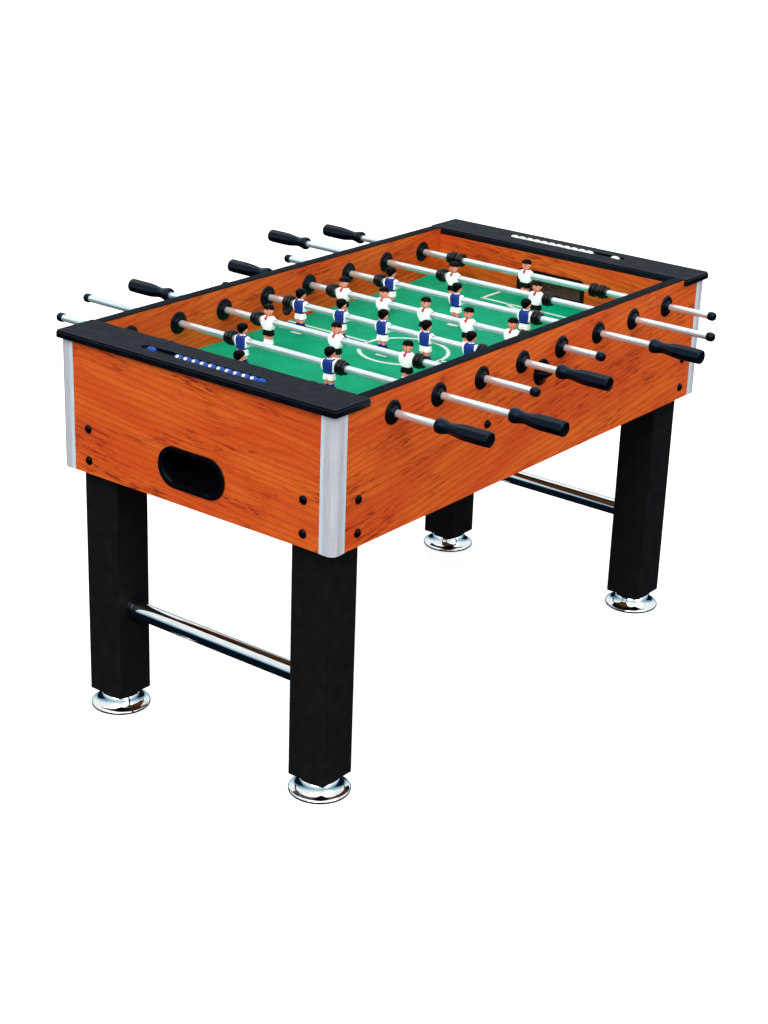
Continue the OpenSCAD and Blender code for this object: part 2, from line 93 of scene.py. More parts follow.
def setStudio(s):
    world = bpy.data.worlds.new("studio")
    bpy.context.scene.world = world
    world.use_nodes = True
    tree = world.node_tree
    # a bright tent above and a dim floor line, so chrome has something to show
    direction = addNode(tree, "TexCoord", out="Generated")
    height = addNode(tree, "SeparateXYZ", {}, {0: direction}, 2)
    ramp = addNode(tree, "ValToRGB", {}, {0: addNode(tree, "MapRange", {}, {0: height, 1: -1.0, 2: 1.0})})
    stops = ramp.node.color_ramp.elements
    while len(stops) < len(s["room"]):
        stops.new(0.5)
    for stop, (level, colour) in zip(stops, s["room"]):
        stop.position, stop.color = level / 2 + 0.5, linearColour(colour)
    white = linearColour("#ffffff")
    tent = addNode(tree, "Background", {}, {"Color": ramp, "Strength": s["roomBright"]})
    paper = addNode(tree, "Background", {}, {"Color": white})
    soft = addNode(tree, "Background", {}, {"Color": white, "Strength": s["surround"]})
    seen = byRay(tree, tent, paper, soft)
    tree.links.new(seen, tree.nodes["World Output"].inputs["Surface"])
    for name, source, strength, wide in s["lamps"]:
        data = bpy.data.lights.new(name, "SUN")
        data.energy, data.angle = strength, math.radians(wide)
        light = bpy.data.objects.new(name, data)
        bpy.context.scene.collection.objects.link(light)
        light.rotation_mode = "QUATERNION"
        light.rotation_quaternion = Vector(source).to_track_quat("Z", "Y")
    bpy.context.scene.view_settings.view_transform = "Standard"


def byRay(tree, mirrored, direct, rest):
    # one shader for what polished things mirror, one for what the lens sees, one for all other light
    rays = addNode(tree, "LightPath").node.outputs
    inGloss = addNode(tree, "MixShader", {}, {0: rays["Is Glossy Ray"], 1: rest, 2: mirrored})
    return addNode(tree, "MixShader", {}, {0: rays["Is Camera Ray"], 1: inGloss, 2: direct})


# making surfaces

joinWithin = 2e-6  # metres
fourCorners = [(sx, sy) for sx in (-1, 1) for sy in (-1, 1)]


def circle(steps):
    return np.arange(steps) * 2 * np.pi / steps


def gridSheet(points, paint=0, ringed=True, looped=False):
    # a grid of points, row by row, becomes quads; ringed joins the last column to the first,
    # looped joins the last row to the first
    rows, columns = points.shape[:2]
    r = np.arange(rows if looped else rows - 1)[:, None]
    c = np.arange(columns if ringed else columns - 1)[None, :]
    r2, c2 = (r + 1) % rows, (c + 1) % columns
    quads = np.stack([r * columns + c, r * columns + c2, r2 * columns + c2, r2 * columns + c], -1)
    return points.reshape(-1, 3), quads.reshape(-1, 4), paint


def shifted(sheets, matrix=None, offset=(0, 0, 0)):
    # each sheet's points times a 3 by 3 matrix, plus an offset
    turn = np.eye(3) if matrix is None else np.array(matrix, float)
    return [(p @ turn.T + np.array(offset, float), q, m) for p, q, m in sheets]


def halfTurned(sheets):
    # the sheets, and the same sheets turned half way round the table's middle
    return sheets + shifted(sheets, np.diag([-1, -1, 1]))


def makePiece(name, sheets, finishes, body, replaced=(), sharpFrom=38):
    # joins the sheets into one mesh, closes their seams and poles, and points the faces outwards
    starts = np.cumsum([0] + [len(p) for p, q, m in sheets[:-1]])
    points = np.concatenate([p for p, q, m in sheets]) * 0.001
    quads = np.concatenate([q + s for (p, q, m), s in zip(sheets, starts)])
    paints = np.concatenate([np.full(len(q), m) for p, q, m in sheets])
    mesh = bpy.data.meshes.new(name)
    mesh.vertices.add(len(points))
    mesh.vertices.foreach_set("co", points.ravel())
    mesh.loops.add(quads.size)
    mesh.loops.foreach_set("vertex_index", quads.ravel())
    mesh.polygons.add(len(quads))
    mesh.polygons.foreach_set("loop_start", np.arange(len(quads)) * 4)
    mesh.polygons.foreach_set("material_index", paints)
    mesh.update(calc_edges=True)
    work = bmesh.new()
    work.from_mesh(mesh)
    bmesh.ops.remove_doubles(work, verts=work.verts, dist=joinWithin)
    bmesh.ops.recalc_face_normals(work, faces=work.faces)
    work.to_mesh(mesh)
    work.free()
    mesh.validate()
    mesh.shade_smooth()
    mesh.set_sharp_from_angle(angle=math.radians(sharpFrom))
    for key in finishes:
        mesh.materials.append(finish[key])
    piece = bpy.data.objects.new(name, mesh)
    bpy.context.scene.collection.objects.link(piece)
    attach(piece, body)
    if replaced:
        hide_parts(*replaced)


def softened(profile, cut, steps=4):
    # a polyline whose inner corners become short curves: each corner is replaced by points on the
    # quadratic curve between two points `cut` away from it, held by one more point on each side
    hold, mostCut, mostHold = 0.25, 0.45, 0.04  # the last two as shares of an edge
    p = np.array(profile, float)
    cut = np.broadcast_to(np.array(cut, float), (len(p) - 2,))[:, None]
    back, ahead = p[:-2] - p[1:-1], p[2:] - p[1:-1]
    backLength = np.linalg.norm(back, axis=1, keepdims=True)
    aheadLength = np.linalg.norm(ahead, axis=1, keepdims=True)
    a, b = (np.minimum(cut, length * mostCut) for length in (backLength, aheadLength))
    back, ahead = back / backLength, ahead / aheadLength
    t = np.linspace(0, 1, steps)[None, :, None]
    corner = p[1:-1, None]
    start, end = corner + (back * a)[:, None], corner + (ahead * b)[:, None]
    curve = start * (1 - t) ** 2 + corner * 2 * t * (1 - t) + end * t ** 2
    heldStart = start + back[:, None] * np.minimum(hold, backLength * mostHold)[:, None]
    heldEnd = end + ahead[:, None] * np.minimum(hold, aheadLength * mostHold)[:, None]
    rows = np.concatenate([heldStart, curve, heldEnd], 1).reshape(-1, 2)
    return np.concatenate([p[:1], rows, p[-1:]])


def turned(profile, steps=48, flutes=None):
    # a surface of revolution about local Z from rows of (radius, height); flutes gives the
    # radius a factor for each height and angle
    p = np.array(profile, float)
    angle = circle(steps)
    radius = p[:, :1] * np.ones(steps)
    if flutes is not None:
        radius = radius * flutes(p[:, 1:2], angle[None, :])
    return np.stack([radius * np.cos(angle), radius * np.sin(angle), p[:, 1:2] * np.ones(steps)], -1)


def aimed(points, origin, along):
    # carries points from local Z to the direction `along`, from the origin given
    z = np.array(along, float)
    z /= np.linalg.norm(z)
    x = np.cross([0, 0, 1.0], z) if abs(z[2]) < 0.9 else np.array([1.0, 0, 0])
    x /= np.linalg.norm(x)
    y = np.cross(z, x)
    return points @ np.stack([x, y, z]) + np.array(origin, float)


def roundedOutline(sizeX, sizeY, radius, steps=9):
    # a rectangle with round corners, anticlockwise: its points and their outward directions
    quarter = np.repeat(np.arange(4), steps)
    angle = np.tile(np.linspace(0, np.pi / 2, steps), 4) + quarter * np.pi / 2
    out = np.stack([np.cos(angle), np.sin(angle)], 1)
    centre = np.stack([np.array([1, -1, -1, 1])[quarter] * (sizeX / 2 - radius),
                       np.array([1, 1, -1, -1])[quarter] * (sizeY / 2 - radius)], 1)
    return centre + radius * out, out


def ringsFrom(outline, out, profile):
    # carries a profile of (outward offset, height) round a flat outline
    p = np.array(profile, float)
    flat = outline[None] + out[None] * p[:, :1, None]
    return np.concatenate([flat, np.broadcast_to(p[:, 1][:, None, None], flat.shape[:2] + (1,))], -1)


def capped(rings):
    # closes a stack of rings at both ends by rows drawn together in their middle
    middle = rings.mean(1, keepdims=True) * np.ones_like(rings)
    return np.concatenate([middle[:1], rings, middle[-1:]])


def shell(outer, inner):
    # two facing grids become one closed skin: each row runs out along one and back along the
    # other, and the first and last rows fold shut on the line half way between them
    rows = np.concatenate([outer, inner[:, ::-1]], 1)
    spine = (outer[[0, -1]] + inner[[0, -1]]) / 2
    shut = np.concatenate([spine, spine[:, ::-1]], 1)
    return np.concatenate([shut[:1], rows, shut[1:]])


def flowing(keys, rows):
    # a table of key rows drawn through with a smooth curve (Catmull-Rom), given as more rows
    k = np.array(keys, float)
    padded = np.concatenate([2 * k[:1] - k[1:2], k, 2 * k[-1:] - k[-2:-1]])
    t = np.linspace(0, len(k) - 1, rows)
    i = np.minimum(t.astype(int), len(k) - 2)
    f = (t - i)[:, None]
    a, b, c, d = padded[i], padded[i + 1], padded[i + 2], padded[i + 3]
    curved = (2 * a - 5 * b + 4 * c - d) * f ** 2 + (3 * b - a - 3 * c + d) * f ** 3
    return 0.5 * (2 * b + (c - a) * f + curved)


def lofted(keys, rows, columns, squareness=2.0):
    # rings stacked up Z from rows of (height, half width in Y, half depth in X, centre X, centre Y),
    # each a superellipse of the given squareness, closed at both ends
    k = flowing(keys, rows)
    angle = circle(columns)
    c, s = (np.sign(v) * np.abs(v) ** (2 / squareness) for v in (np.cos(angle), np.sin(angle)))
    z, a, b, cx, cy = (k[:, i:i + 1] for i in range(5))
    a, b = np.maximum(a, 0.05), np.maximum(b, 0.05)
    return capped(np.stack([cx + b * c, cy + a * s, z * np.ones(columns)], -1))


def egg(centre, radii, rows=9, columns=14):
    # a small closed ellipsoid
    tilt = np.linspace(0, np.pi, rows)[:, None]
    angle = circle(columns)[None]
    across, up = np.sin(tilt), np.cos(tilt) * np.ones(columns)
    ball = np.stack([across * np.cos(angle), across * np.sin(angle), up], -1)
    return ball * np.array(radii) + np.array(centre)


# finishes

def linearColour(hexCode):
    c = np.array([int(hexCode[i:i + 2], 16) for i in (1, 3, 5)]) / 255
    linear = np.where(c <= 0.04045, c / 12.92, ((c + 0.055) / 1.055) ** 2.4)
    return (*linear.tolist(), 1.0)


def addNode(tree, kind, settings=None, inputs=None, out=0):
    # inputs hold a socket to link from or a value to set; gives back the output socket asked for
    node = tree.nodes.new("ShaderNode" + kind)
    for key, value in (settings or {}).items():
        setattr(node, key, value)
    for key, value in (inputs or {}).items():
        if isinstance(value, bpy.types.NodeSocket):
            tree.links.new(value, node.inputs[key])
        else:
            node.inputs[key].default_value = value
    return node.outputs[out]


def newFinish(name, **values):
    material = bpy.data.materials.new(name)
    material.use_nodes = True
    tree = material.node_tree
    shader = tree.nodes["Principled BSDF"]
    for key, value in values.items():
        shader.inputs[key.replace("_", " ")].default_value = value
    return material, tree, shader, addNode(tree, "TexCoord", out="Object")


def pattern(tree, place, stretch, turn, kind, settings, inputs):
    # a texture looked up at a place that is turned and then drawn out by the stretch
    drawn = addNode(tree, "Mapping", {"vector_type": "TEXTURE"},
                    {"Vector": place, "Rotation": turn, "Scale": stretch})
    return addNode(tree, kind, settings, {"Vector": drawn, **inputs})


def spots(tree, place, size, stretch=(1, 1, 1), turn=(0, 0, 0), detail=3.0, rough=0.5, warp=0.0):
    # noise whose grains are about `size` millimetres across
    return pattern(tree, place, stretch, turn, "TexNoise", {},
                   {"Scale": 1000 / size, "Detail": detail, "Roughness": rough, "Distortion": warp})


softStep = {"interpolation_type": "SMOOTHSTEP"}


def tinted(tree, first, second, pattern, low, high, least=0.0, most=1.0, gate=None):
    # the first tone turns to the second as the pattern climbs from low to high, by a share that
    # goes from least to most and is held back by the gate; a tone is a hex code or a socket
    share = addNode(tree, "MapRange", softStep, {0: pattern, 1: low, 2: high, 3: least, 4: most})
    if gate:
        share = addNode(tree, "Math", {"operation": "MULTIPLY"}, {0: gate, 1: share})
    tones = [linearColour(tone) if isinstance(tone, str) else tone for tone in (first, second)]
    return addNode(tree, "Mix", {"data_type": "RGBA"}, {0: share, 6: tones[0], 7: tones[1]}, 2)


def surfaced(tree, shader, tone, fine, depth, strength, cloud=None, gloss=(0, 1), levels=(0.3, 0.7)):
    # gives the shader its colour, a roughness that follows the cloud between two values, and a
    # bump of the depth given in millimetres
    tree.links.new(tone, shader.inputs["Base Color"])
    if cloud:
        ends = {0: cloud, 1: levels[0], 2: levels[1], 3: gloss[0], 4: gloss[1]}
        tree.links.new(addNode(tree, "MapRange", softStep, ends), shader.inputs["Roughness"])
    bump = addNode(tree, "Bump", {}, {"Strength": strength, "Distance": depth * 0.001, "Height": fine})
    tree.links.new(bump, shader.inputs["Normal"])


cherry = {
    "light": "#ee7026",
    "mid": "#de561e",
    "deep": "#c23f15",
    "streak": "#94240a",
    "board": "#a8917c",
    "boardDark": "#8b7866",
    "gloss": 0.45,
    # sizes across the grain in millimetres, and how much longer each is along it
    "bands": (75, 5),
    "lines": (15, 6),
    "gather": (48, 3),
    "streaks": (4.0, 11),
    "pores": (2.6, 9),
    "archWarp": 14.0,
    "archReach": 7.0,  # how wide an arch is, in line spacings
}


waveLength = 314  # millimetres from wave to wave in a Wave Texture of scale 1


def figureLines(tree, place, turn, apart, longer, warp, reach):
    # lines about `apart` millimetres from each other whose waves, `reach` times as wide as that,
    # close into the long arches of a flat-sawn board
    return pattern(tree, place, (longer, 1, 1), turn, "TexWave",
                   {"bands_direction": "Z", "wave_profile": "SAW"},
                   {"Scale": waveLength / apart, "Distortion": warp, "Detail": 3.0,
                    "Detail Scale": 3.14 / reach, "Detail Roughness": 0.55})


def cherryMelamine(name, turn, backFrom=None):
    # printed cherry grain under a satin melamine skin on chipboard: orange bands that arch and
    # drift a few degrees off the edges, with short dark red streaks gathered along them
    c = cherry
    material, tree, shader, place = newFinish(name, Roughness=c["gloss"], IOR=1.5, Specular_IOR_Level=0.12)

    def grain(key, *look):
        size, longer = c[key]
        return spots(tree, place, size, (longer, 1, 1), turn, *look)

    bands = grain("bands", 3, 0.5, 0.8)
    pores = grain("pores", 2, 0.6)
    lines = figureLines(tree, place, turn, *c["lines"], c["archWarp"], c["archReach"])
    gathered = addNode(tree, "MapRange", softStep,
                       {0: grain("gather", 2, 0.5, 0.7), 1: 0.44, 2: 0.66, 3: 0.06, 4: 1.0})
    tone = tinted(tree, c["light"], c["mid"], bands, 0.34, 0.64, 0.1, 0.9)
    tone = tinted(tree, tone, c["deep"], lines, 0.40, 1.0, 0, 0.5)
    tone = tinted(tree, tone, c["streak"], grain("streaks", 2, 0.5, 0.9), 0.48, 0.64, 0, 0.85, gathered)
    tone = tinted(tree, tone, c["streak"], pores, 0.56, 0.76, 0, 0.3)
    if backFrom:
        # the hidden face and the sawn edges are bare chipboard
        chips = tinted(tree, c["board"], c["boardDark"], pores, 0.35, 0.65)
        away = addNode(tree, "Math", {"operation": "ABSOLUTE"},
                       {0: addNode(tree, "SeparateXYZ", {}, {0: place})})
        tone = tinted(tree, chips, tone, away, backFrom - 0.0006, backFrom - 0.0002)
    surfaced(tree, shader, tone, pores, 0.06, 0.5, bands, (c["gloss"] - 0.04, c["gloss"] + 0.08))
    return material


def plainPlastic(name, colour, worn, gloss, grain, depth, ior=1.5, shine=0.5, tint="#ffffff"):
    # moulded plastic or rubber: an even colour with a slightly dusty bloom in patches, and the
    # fine eroded texture of its mould
    material, tree, shader, place = newFinish(name, IOR=ior, Specular_IOR_Level=shine,
                                              Specular_Tint=linearColour(tint))
    bloom = spots(tree, place, 26, detail=4, rough=0.6)
    fine = spots(tree, place, grain, detail=2)
    tone = tinted(tree, colour, worn, bloom, 0.42, 0.75)
    surfaced(tree, shader, tone, fine, depth, 0.6, bloom, (gloss - 0.05, gloss + 0.09))
    return material


def polishedMetal(name, colour, gloss, along=(1, 1, 1), line=0.5, depth=0.004, metal=1.0):
    # chrome plate, polished steel or brushed aluminium: fine lines left by the wheel or the belt,
    # drawn out along the work, which smear the highlights a little
    material, tree, shader, place = newFinish(name, Metallic=metal)
    lines = spots(tree, place, line, along, detail=2)
    cloud = spots(tree, place, 40, detail=3)
    deeper = "#" + "".join(f"{int(int(colour[i:i + 2], 16) * 0.9):02x}" for i in (1, 3, 5))
    tone = tinted(tree, colour, deeper, lines, 0.35, 0.65)
    surfaced(tree, shader, tone, lines, depth, 0.5, cloud, (gloss * 0.8, gloss * 1.3))
    return material


def dollPaint(name, colour, shade, gloss=0.38, shine=0.5, glow=0.0):
    # enamel sprayed on a moulded figure: the colour pools a little darker in soft patches, and the skin of
    # the paint is faintly uneven; a glow in the paint's own colour is painted light that brightens the figure
    # beyond what the lamps give
    material, tree, shader, place = newFinish(name, IOR=1.5, Specular_IOR_Level=shine, Emission_Strength=glow,
                                              Emission_Color=linearColour(colour))
    pooled = spots(tree, place, 9, detail=3, rough=0.55)
    fine = spots(tree, place, 1.4, detail=2)
    tone = tinted(tree, colour, shade, pooled, 0.4, 0.72)
    surfaced(tree, shader, tone, fine, 0.03, 0.35, pooled, (gloss - 0.06, gloss + 0.08))
    return material


pitch = {
    "green": "#02a67a",
    "deep": "#01996c",
    "board": "#b08a5c",
    "boardDark": "#94713f",
    "laminateFrom": 0.755,  # height in metres
}


def pitchLaminate(name):
    # a green printed laminate with a satin face on fibreboard: barely mottled from above, and bare
    # brown board below and at the edges
    material, tree, shader, place = newFinish(name, IOR=1.48, Specular_IOR_Level=0.05)
    mottle = spots(tree, place, 60, detail=4, rough=0.6)
    fine = spots(tree, place, 1.2, detail=2)
    fibres = spots(tree, place, 3, (4, 1, 1), detail=3)
    top = tinted(tree, pitch["green"], pitch["deep"], mottle, 0.38, 0.66)
    raw = tinted(tree, pitch["board"], pitch["boardDark"], fibres, 0.3, 0.7)
    height = addNode(tree, "SeparateXYZ", {}, {0: place}, 2)
    step = (pitch["laminateFrom"] - 0.0005, pitch["laminateFrom"] + 0.0005)
    tone = tinted(tree, raw, top, height, *step)
    surfaced(tree, shader, tone, fine, 0.02, 0.4, height, (0.8, 0.5), step)
    return material


def fibreBoard(name):
    # sawn softwood and bare board: straw brown with long grain and a rough sawn face
    material, tree, shader, place = newFinish(name, IOR=1.4, Roughness=0.78)
    rings = spots(tree, place, 9, (1, 14, 1), detail=4, rough=0.6, warp=0.8)
    saw = spots(tree, place, 1.6, (1, 5, 1), detail=3)
    surfaced(tree, shader, tinted(tree, "#cfa774", "#a67b48", rings, 0.35, 0.7), saw, 0.15, 0.6)
    return material


finish = {
    "cherryLong": cherryMelamine("cherryMelamineLong", (0, math.radians(-7), 0)),
    "cherryCross": cherryMelamine("cherryMelamineCross", (0, math.radians(-5), math.radians(90))),
    "cherryEnd": cherryMelamine("cherryMelamineEnd", (0, math.radians(-5), math.radians(90)),
                                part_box("end_panels")[1][0]),
    "pitch": pitchLaminate("greenPitchLaminate"),
    "pitchLines": plainPlastic("whiteScreenPrint", "#e9f4f0", "#cfe9e0", 0.42, 1.0, 0.01),
    "boardBlack": plainPlastic("charcoalPvcFoil", "#181b21", "#1d2026", 0.5, 1.6, 0.05, shine=0.035),
    # the edging black also darkens the scorer slots' walls and floor: painted shade
    "edgingAndSlotShade": plainPlastic("blackAbsEdgingAndSlotShade", "#070a0f", "#0c1016", 0.3, 2.0, 0.03, shine=0.35,
                              tint="#9fb4d8"),
    "railBlack": plainPlastic("blackRailFoil", "#0b1016", "#10161d", 0.4, 2.0, 0.03, shine=0.01,
                              tint="#a8c4dc"),
    "legBlack": plainPlastic("blackPowderCoat", "#141416", "#19191c", 0.5, 1.8, 0.06, shine=0.1),
    "mouldedBlack": plainPlastic("blackMouldedNylon", "#06080c", "#0b0e14", 0.3, 2.2, 0.03, shine=0.22,
                                 tint="#b4c4e0"),
    "gripBlack": plainPlastic("blackMouldedAbs", "#06090f", "#0a0e15", 0.22, 2.4, 0.02, shine=0.3,
                              tint="#86ace4"),
    "rubberBlack": plainPlastic("blackNitrileRubber", "#050608", "#0a0b0e", 0.26, 1.6, 0.05, 1.52, 0.24),
    "screwBlack": plainPlastic("blackOxideSteel", "#030407", "#07080c", 0.22, 0.8, 0.01, shine=0.14,
                               tint="#a8c4dc"),
    "rodSteel": polishedMetal("chromedSteelTube", "#e4f6fc", 0.12, (1, 24, 1), 1.6, 0.0005, 0.6),
    "chrome": polishedMetal("chromePlate", "#eceef0", 0.06, (1, 1, 1), 2.0, 0.001),
    "tubeChrome": polishedMetal("chromedTube", "#e8eaec", 0.08, (1, 24, 1), 1.6, 0.001),
    "aluminium": polishedMetal("satinAluminium", "#e9ecf6", 0.34, (1, 1, 80), 0.9, 0.002, 0.2),
    # the bright-cut strips are a light bluish non-metal: a painted reflection standing in for their shine
    "brightCutPaintedSheen": polishedMetal("brightCutAluminium", "#e0f4ff", 0.3, (1, 1, 80), 0.9, 0.002, 0.0),
    "rimBlack": plainPlastic("blackGlossRim", "#05070b", "#0a0d13", 0.2, 2.2, 0.02, shine=0.9,
                             tint="#a8b8e0"),
    "beadBlue": plainPlastic("blueAcetal", "#0a4cb0", "#083f98", 0.22, 2.0, 0.01, 1.48, 0.2),
    # this white also paints the glint spots on the blue beads: painted highlight
    "beadWhite": plainPlastic("whiteAcetalAndGlintSpots", "#f3f3f0", "#dedfdc", 0.24, 2.0, 0.01, 1.48),
    "battens": fibreBoard("sawnSoftwood"),
    # the skin's glow is painted light
    "skin": dollPaint("skinEnamel", "#ffa98e", "#fb8064", glow=0.05),
    "hair": dollPaint("hairEnamel", "#030305", "#07070b", 0.3, 0.04),
    "blueJersey": dollPaint("blueJerseyEnamel", "#194299", "#262c86", 0.38, 0.2),
    # the white jersey's glow is painted light that lifts the whites
    "whiteJersey": dollPaint("whiteJerseyEnamel", "#ffffff", "#f8f8f6", glow=0.26),
    "blackShorts": dollPaint("blackShortsEnamel", "#07070a", "#0e0e12", 0.38, 0.2),
    "navyBoots": dollPaint("navyBootsEnamel", "#20248c", "#16184f", 0.38, 0.25),
    "redCollar": dollPaint("redCollarEnamel", "#cf3640", "#b32733"),
    "features": dollPaint("featureEnamel", "#20161a", "#2a1c20", 0.25),
    "lips": dollPaint("lipEnamel", "#b9524a", "#a8463f"),
}
print("finishes made:", len(finish))

# where things are, read off the solids

men = {1: 1, 2: 2, 3: 3, 4: 5, 5: 5, 6: 3, 7: 2, 8: 1}
manGap = {1: 0, 2: 245, 3: 196, 5: 121}


def boxMm(node):
    low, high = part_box(node)
    return np.array(low) * 1000, np.array(high) * 1000


def rodFacts(k):
    bar, players, grips, bumpers = (boxMm(f"rod_{k}_{part}")
                                    for part in ("bar", "players", "grips", "bumpers"))
    middle = (players[0][1] + players[1][1]) / 2
    return {
        "x": (bar[0][0] + bar[1][0]) / 2,
        "z": (bar[0][2] + bar[1][2]) / 2,
        "r": (bar[1][0] - bar[0][0]) / 2,
        "ends": (bar[0][1], bar[1][1]),
        "middle": middle,
        "side": 1 if grips[1][1] - middle > middle - grips[0][1] else -1,  # the side that its handle is on
        "bumperEnd": bumpers[1][1] - middle,
        "men": men[k],
        "body": f"rod_{k}",
    }


rods = {k: rodFacts(k) for k in men}

# rods, handles, caps and bumpers

barShape = {"edge": 0.8, "steps": 40}


def rodBar(k):
    rod = rods[k]
    low, high = rod["ends"]
    profile = softened([(0, low), (rod["r"], low), (rod["r"], high), (0, high)], barShape["edge"], 4)
    points = aimed(turned(profile, barShape["steps"]), (rod["x"], 0, rod["z"]), (0, 1, 0))
    makePiece(f"rodBar{k}", [gridSheet(points)], ["rodSteel"], rod["body"], [f"rod_{k}_bar"])


handleShape = {
    "length": 126,
    "hold": 100,  # how far the rod runs into it
    "flats": 8,
    "flatness": 1.125,  # 1 leaves an even octagon
    "flatsFrom": (36, 22),  # where the flats begin beyond the neck, and how far they take to grow
    "flatsEnd": (5, 0.35),  # how far from the end they shrink, and what is left of them there
    # radius and distance from the collar's end
    "line": [(0, 0), (12.6, 0), (14.6, 0.8), (15.6, 3), (16, 6.5), (15.8, 10), (15, 14), (13.4, 20),
             (12.2, 26), (11.9, 31), (12.4, 37), (13.6, 44), (15, 51.5), (16.2, 60), (16.9, 70), (17, 82),
             (17, 100), (17, 114), (16.9, 119), (16.3, 122.4), (14.8, 124.9), (12.9, 126), (11.6, 126),
             (10.6, 125.2), (10.2, 123.4), (0, 123.2)],
}
capShape = {
    "length": 18,
    "hold": 12,
    "line": [(0, 0), (8.2, 0), (9.4, 0.7), (10.2, 2.6), (10.5, 5.4), (10.5, 9.4), (10.1, 12.4), (8.9, 15),
             (6.8, 16.9), (4, 17.8), (0, 18)],
}


def handleFlutes(height, angle):
    # the radius falls to the cosine form of a regular polygon's flats between its corners
    s = handleShape
    sector = 2 * np.pi / s["flats"]
    flat = np.cos(sector / 2) / np.cos(np.mod(angle, sector) - sector / 2)
    (start, grow), (shrink, least) = s["flatsFrom"], s["flatsEnd"]
    fade = np.clip((height - start) / grow, 0, 1) * np.clip((s["length"] - height) / shrink, least, 1)
    return 1 - (1 - flat) * s["flatness"] * fade * fade * (3 - 2 * fade)


def rodGrips(k):
    # the handle stands on the rod's end on one side and the cap on the other
    rod = rods[k]
    sheets = []
    for s, side, rows, steps, flutes in ((handleShape, rod["side"], 84, 64, handleFlutes),
                                         (capShape, -rod["side"], 40, 40, None)):
        points = turned(np.clip(flowing(s["line"], rows), 0, s["length"]), steps, flutes)
        end = rod["ends"][1 if side > 0 else 0]
        sheets.append(gridSheet(aimed(points, (rod["x"], end - side * s["hold"], rod["z"]), (0, side, 0))))
    makePiece(f"handleAndCap{k}", sheets, ["gripBlack"], rod["body"], [f"rod_{k}_grips"], 50)


bumperShape = {
    "length": 23,
    "gap": 1,
    "ribs": [17, 17, 14.2],  # radius of each rib, the smallest nearest the wall
    "core": 12.4,
    "bore": 8.05,
    "end": [(8.05, 0.3), (8.45, 0), (11, 0), (11.9, 0.15)],  # radius and distance from the end
}


def rodBumpers(k):
    # each bumper is a rubber sleeve with round ribs: between the grooves the radius swells from
    # the core's by |sin(pi n t)| to the power 0.5
    rod, s = rods[k], bumperShape
    count = len(s["ribs"])
    t = np.linspace(0, 1, 46)[1:-1]
    top = np.array(s["ribs"])[np.minimum((t * count).astype(int), count - 1)]
    wave = np.abs(np.sin(np.pi * t * count)) ** 0.5
    face = np.stack([s["core"] + (top - s["core"]) * wave, t * s["length"]], 1)
    end = np.array(s["end"])
    profile = np.concatenate([[(s["bore"], s["length"] / 2)], end, face,
                              end[::-1] * [1, -1] + [0, s["length"]]])
    ring = turned(profile, 40)
    sheets = []
    for i in range(2 if rod["men"] == 1 else 1):
        start = rod["bumperEnd"] - (i + 1) * s["length"] - i * s["gap"]
        for side in (-1, 1):
            place = (rod["x"], rod["middle"] + side * start, rod["z"])
            sheets.append(gridSheet(aimed(ring, place, (0, side, 0)), looped=True))
    makePiece(f"bumpers{k}", sheets, ["rubberBlack"], f"rod_{k}_sleeves",
              [f"rod_{k}_bumpers"], 60)


# players

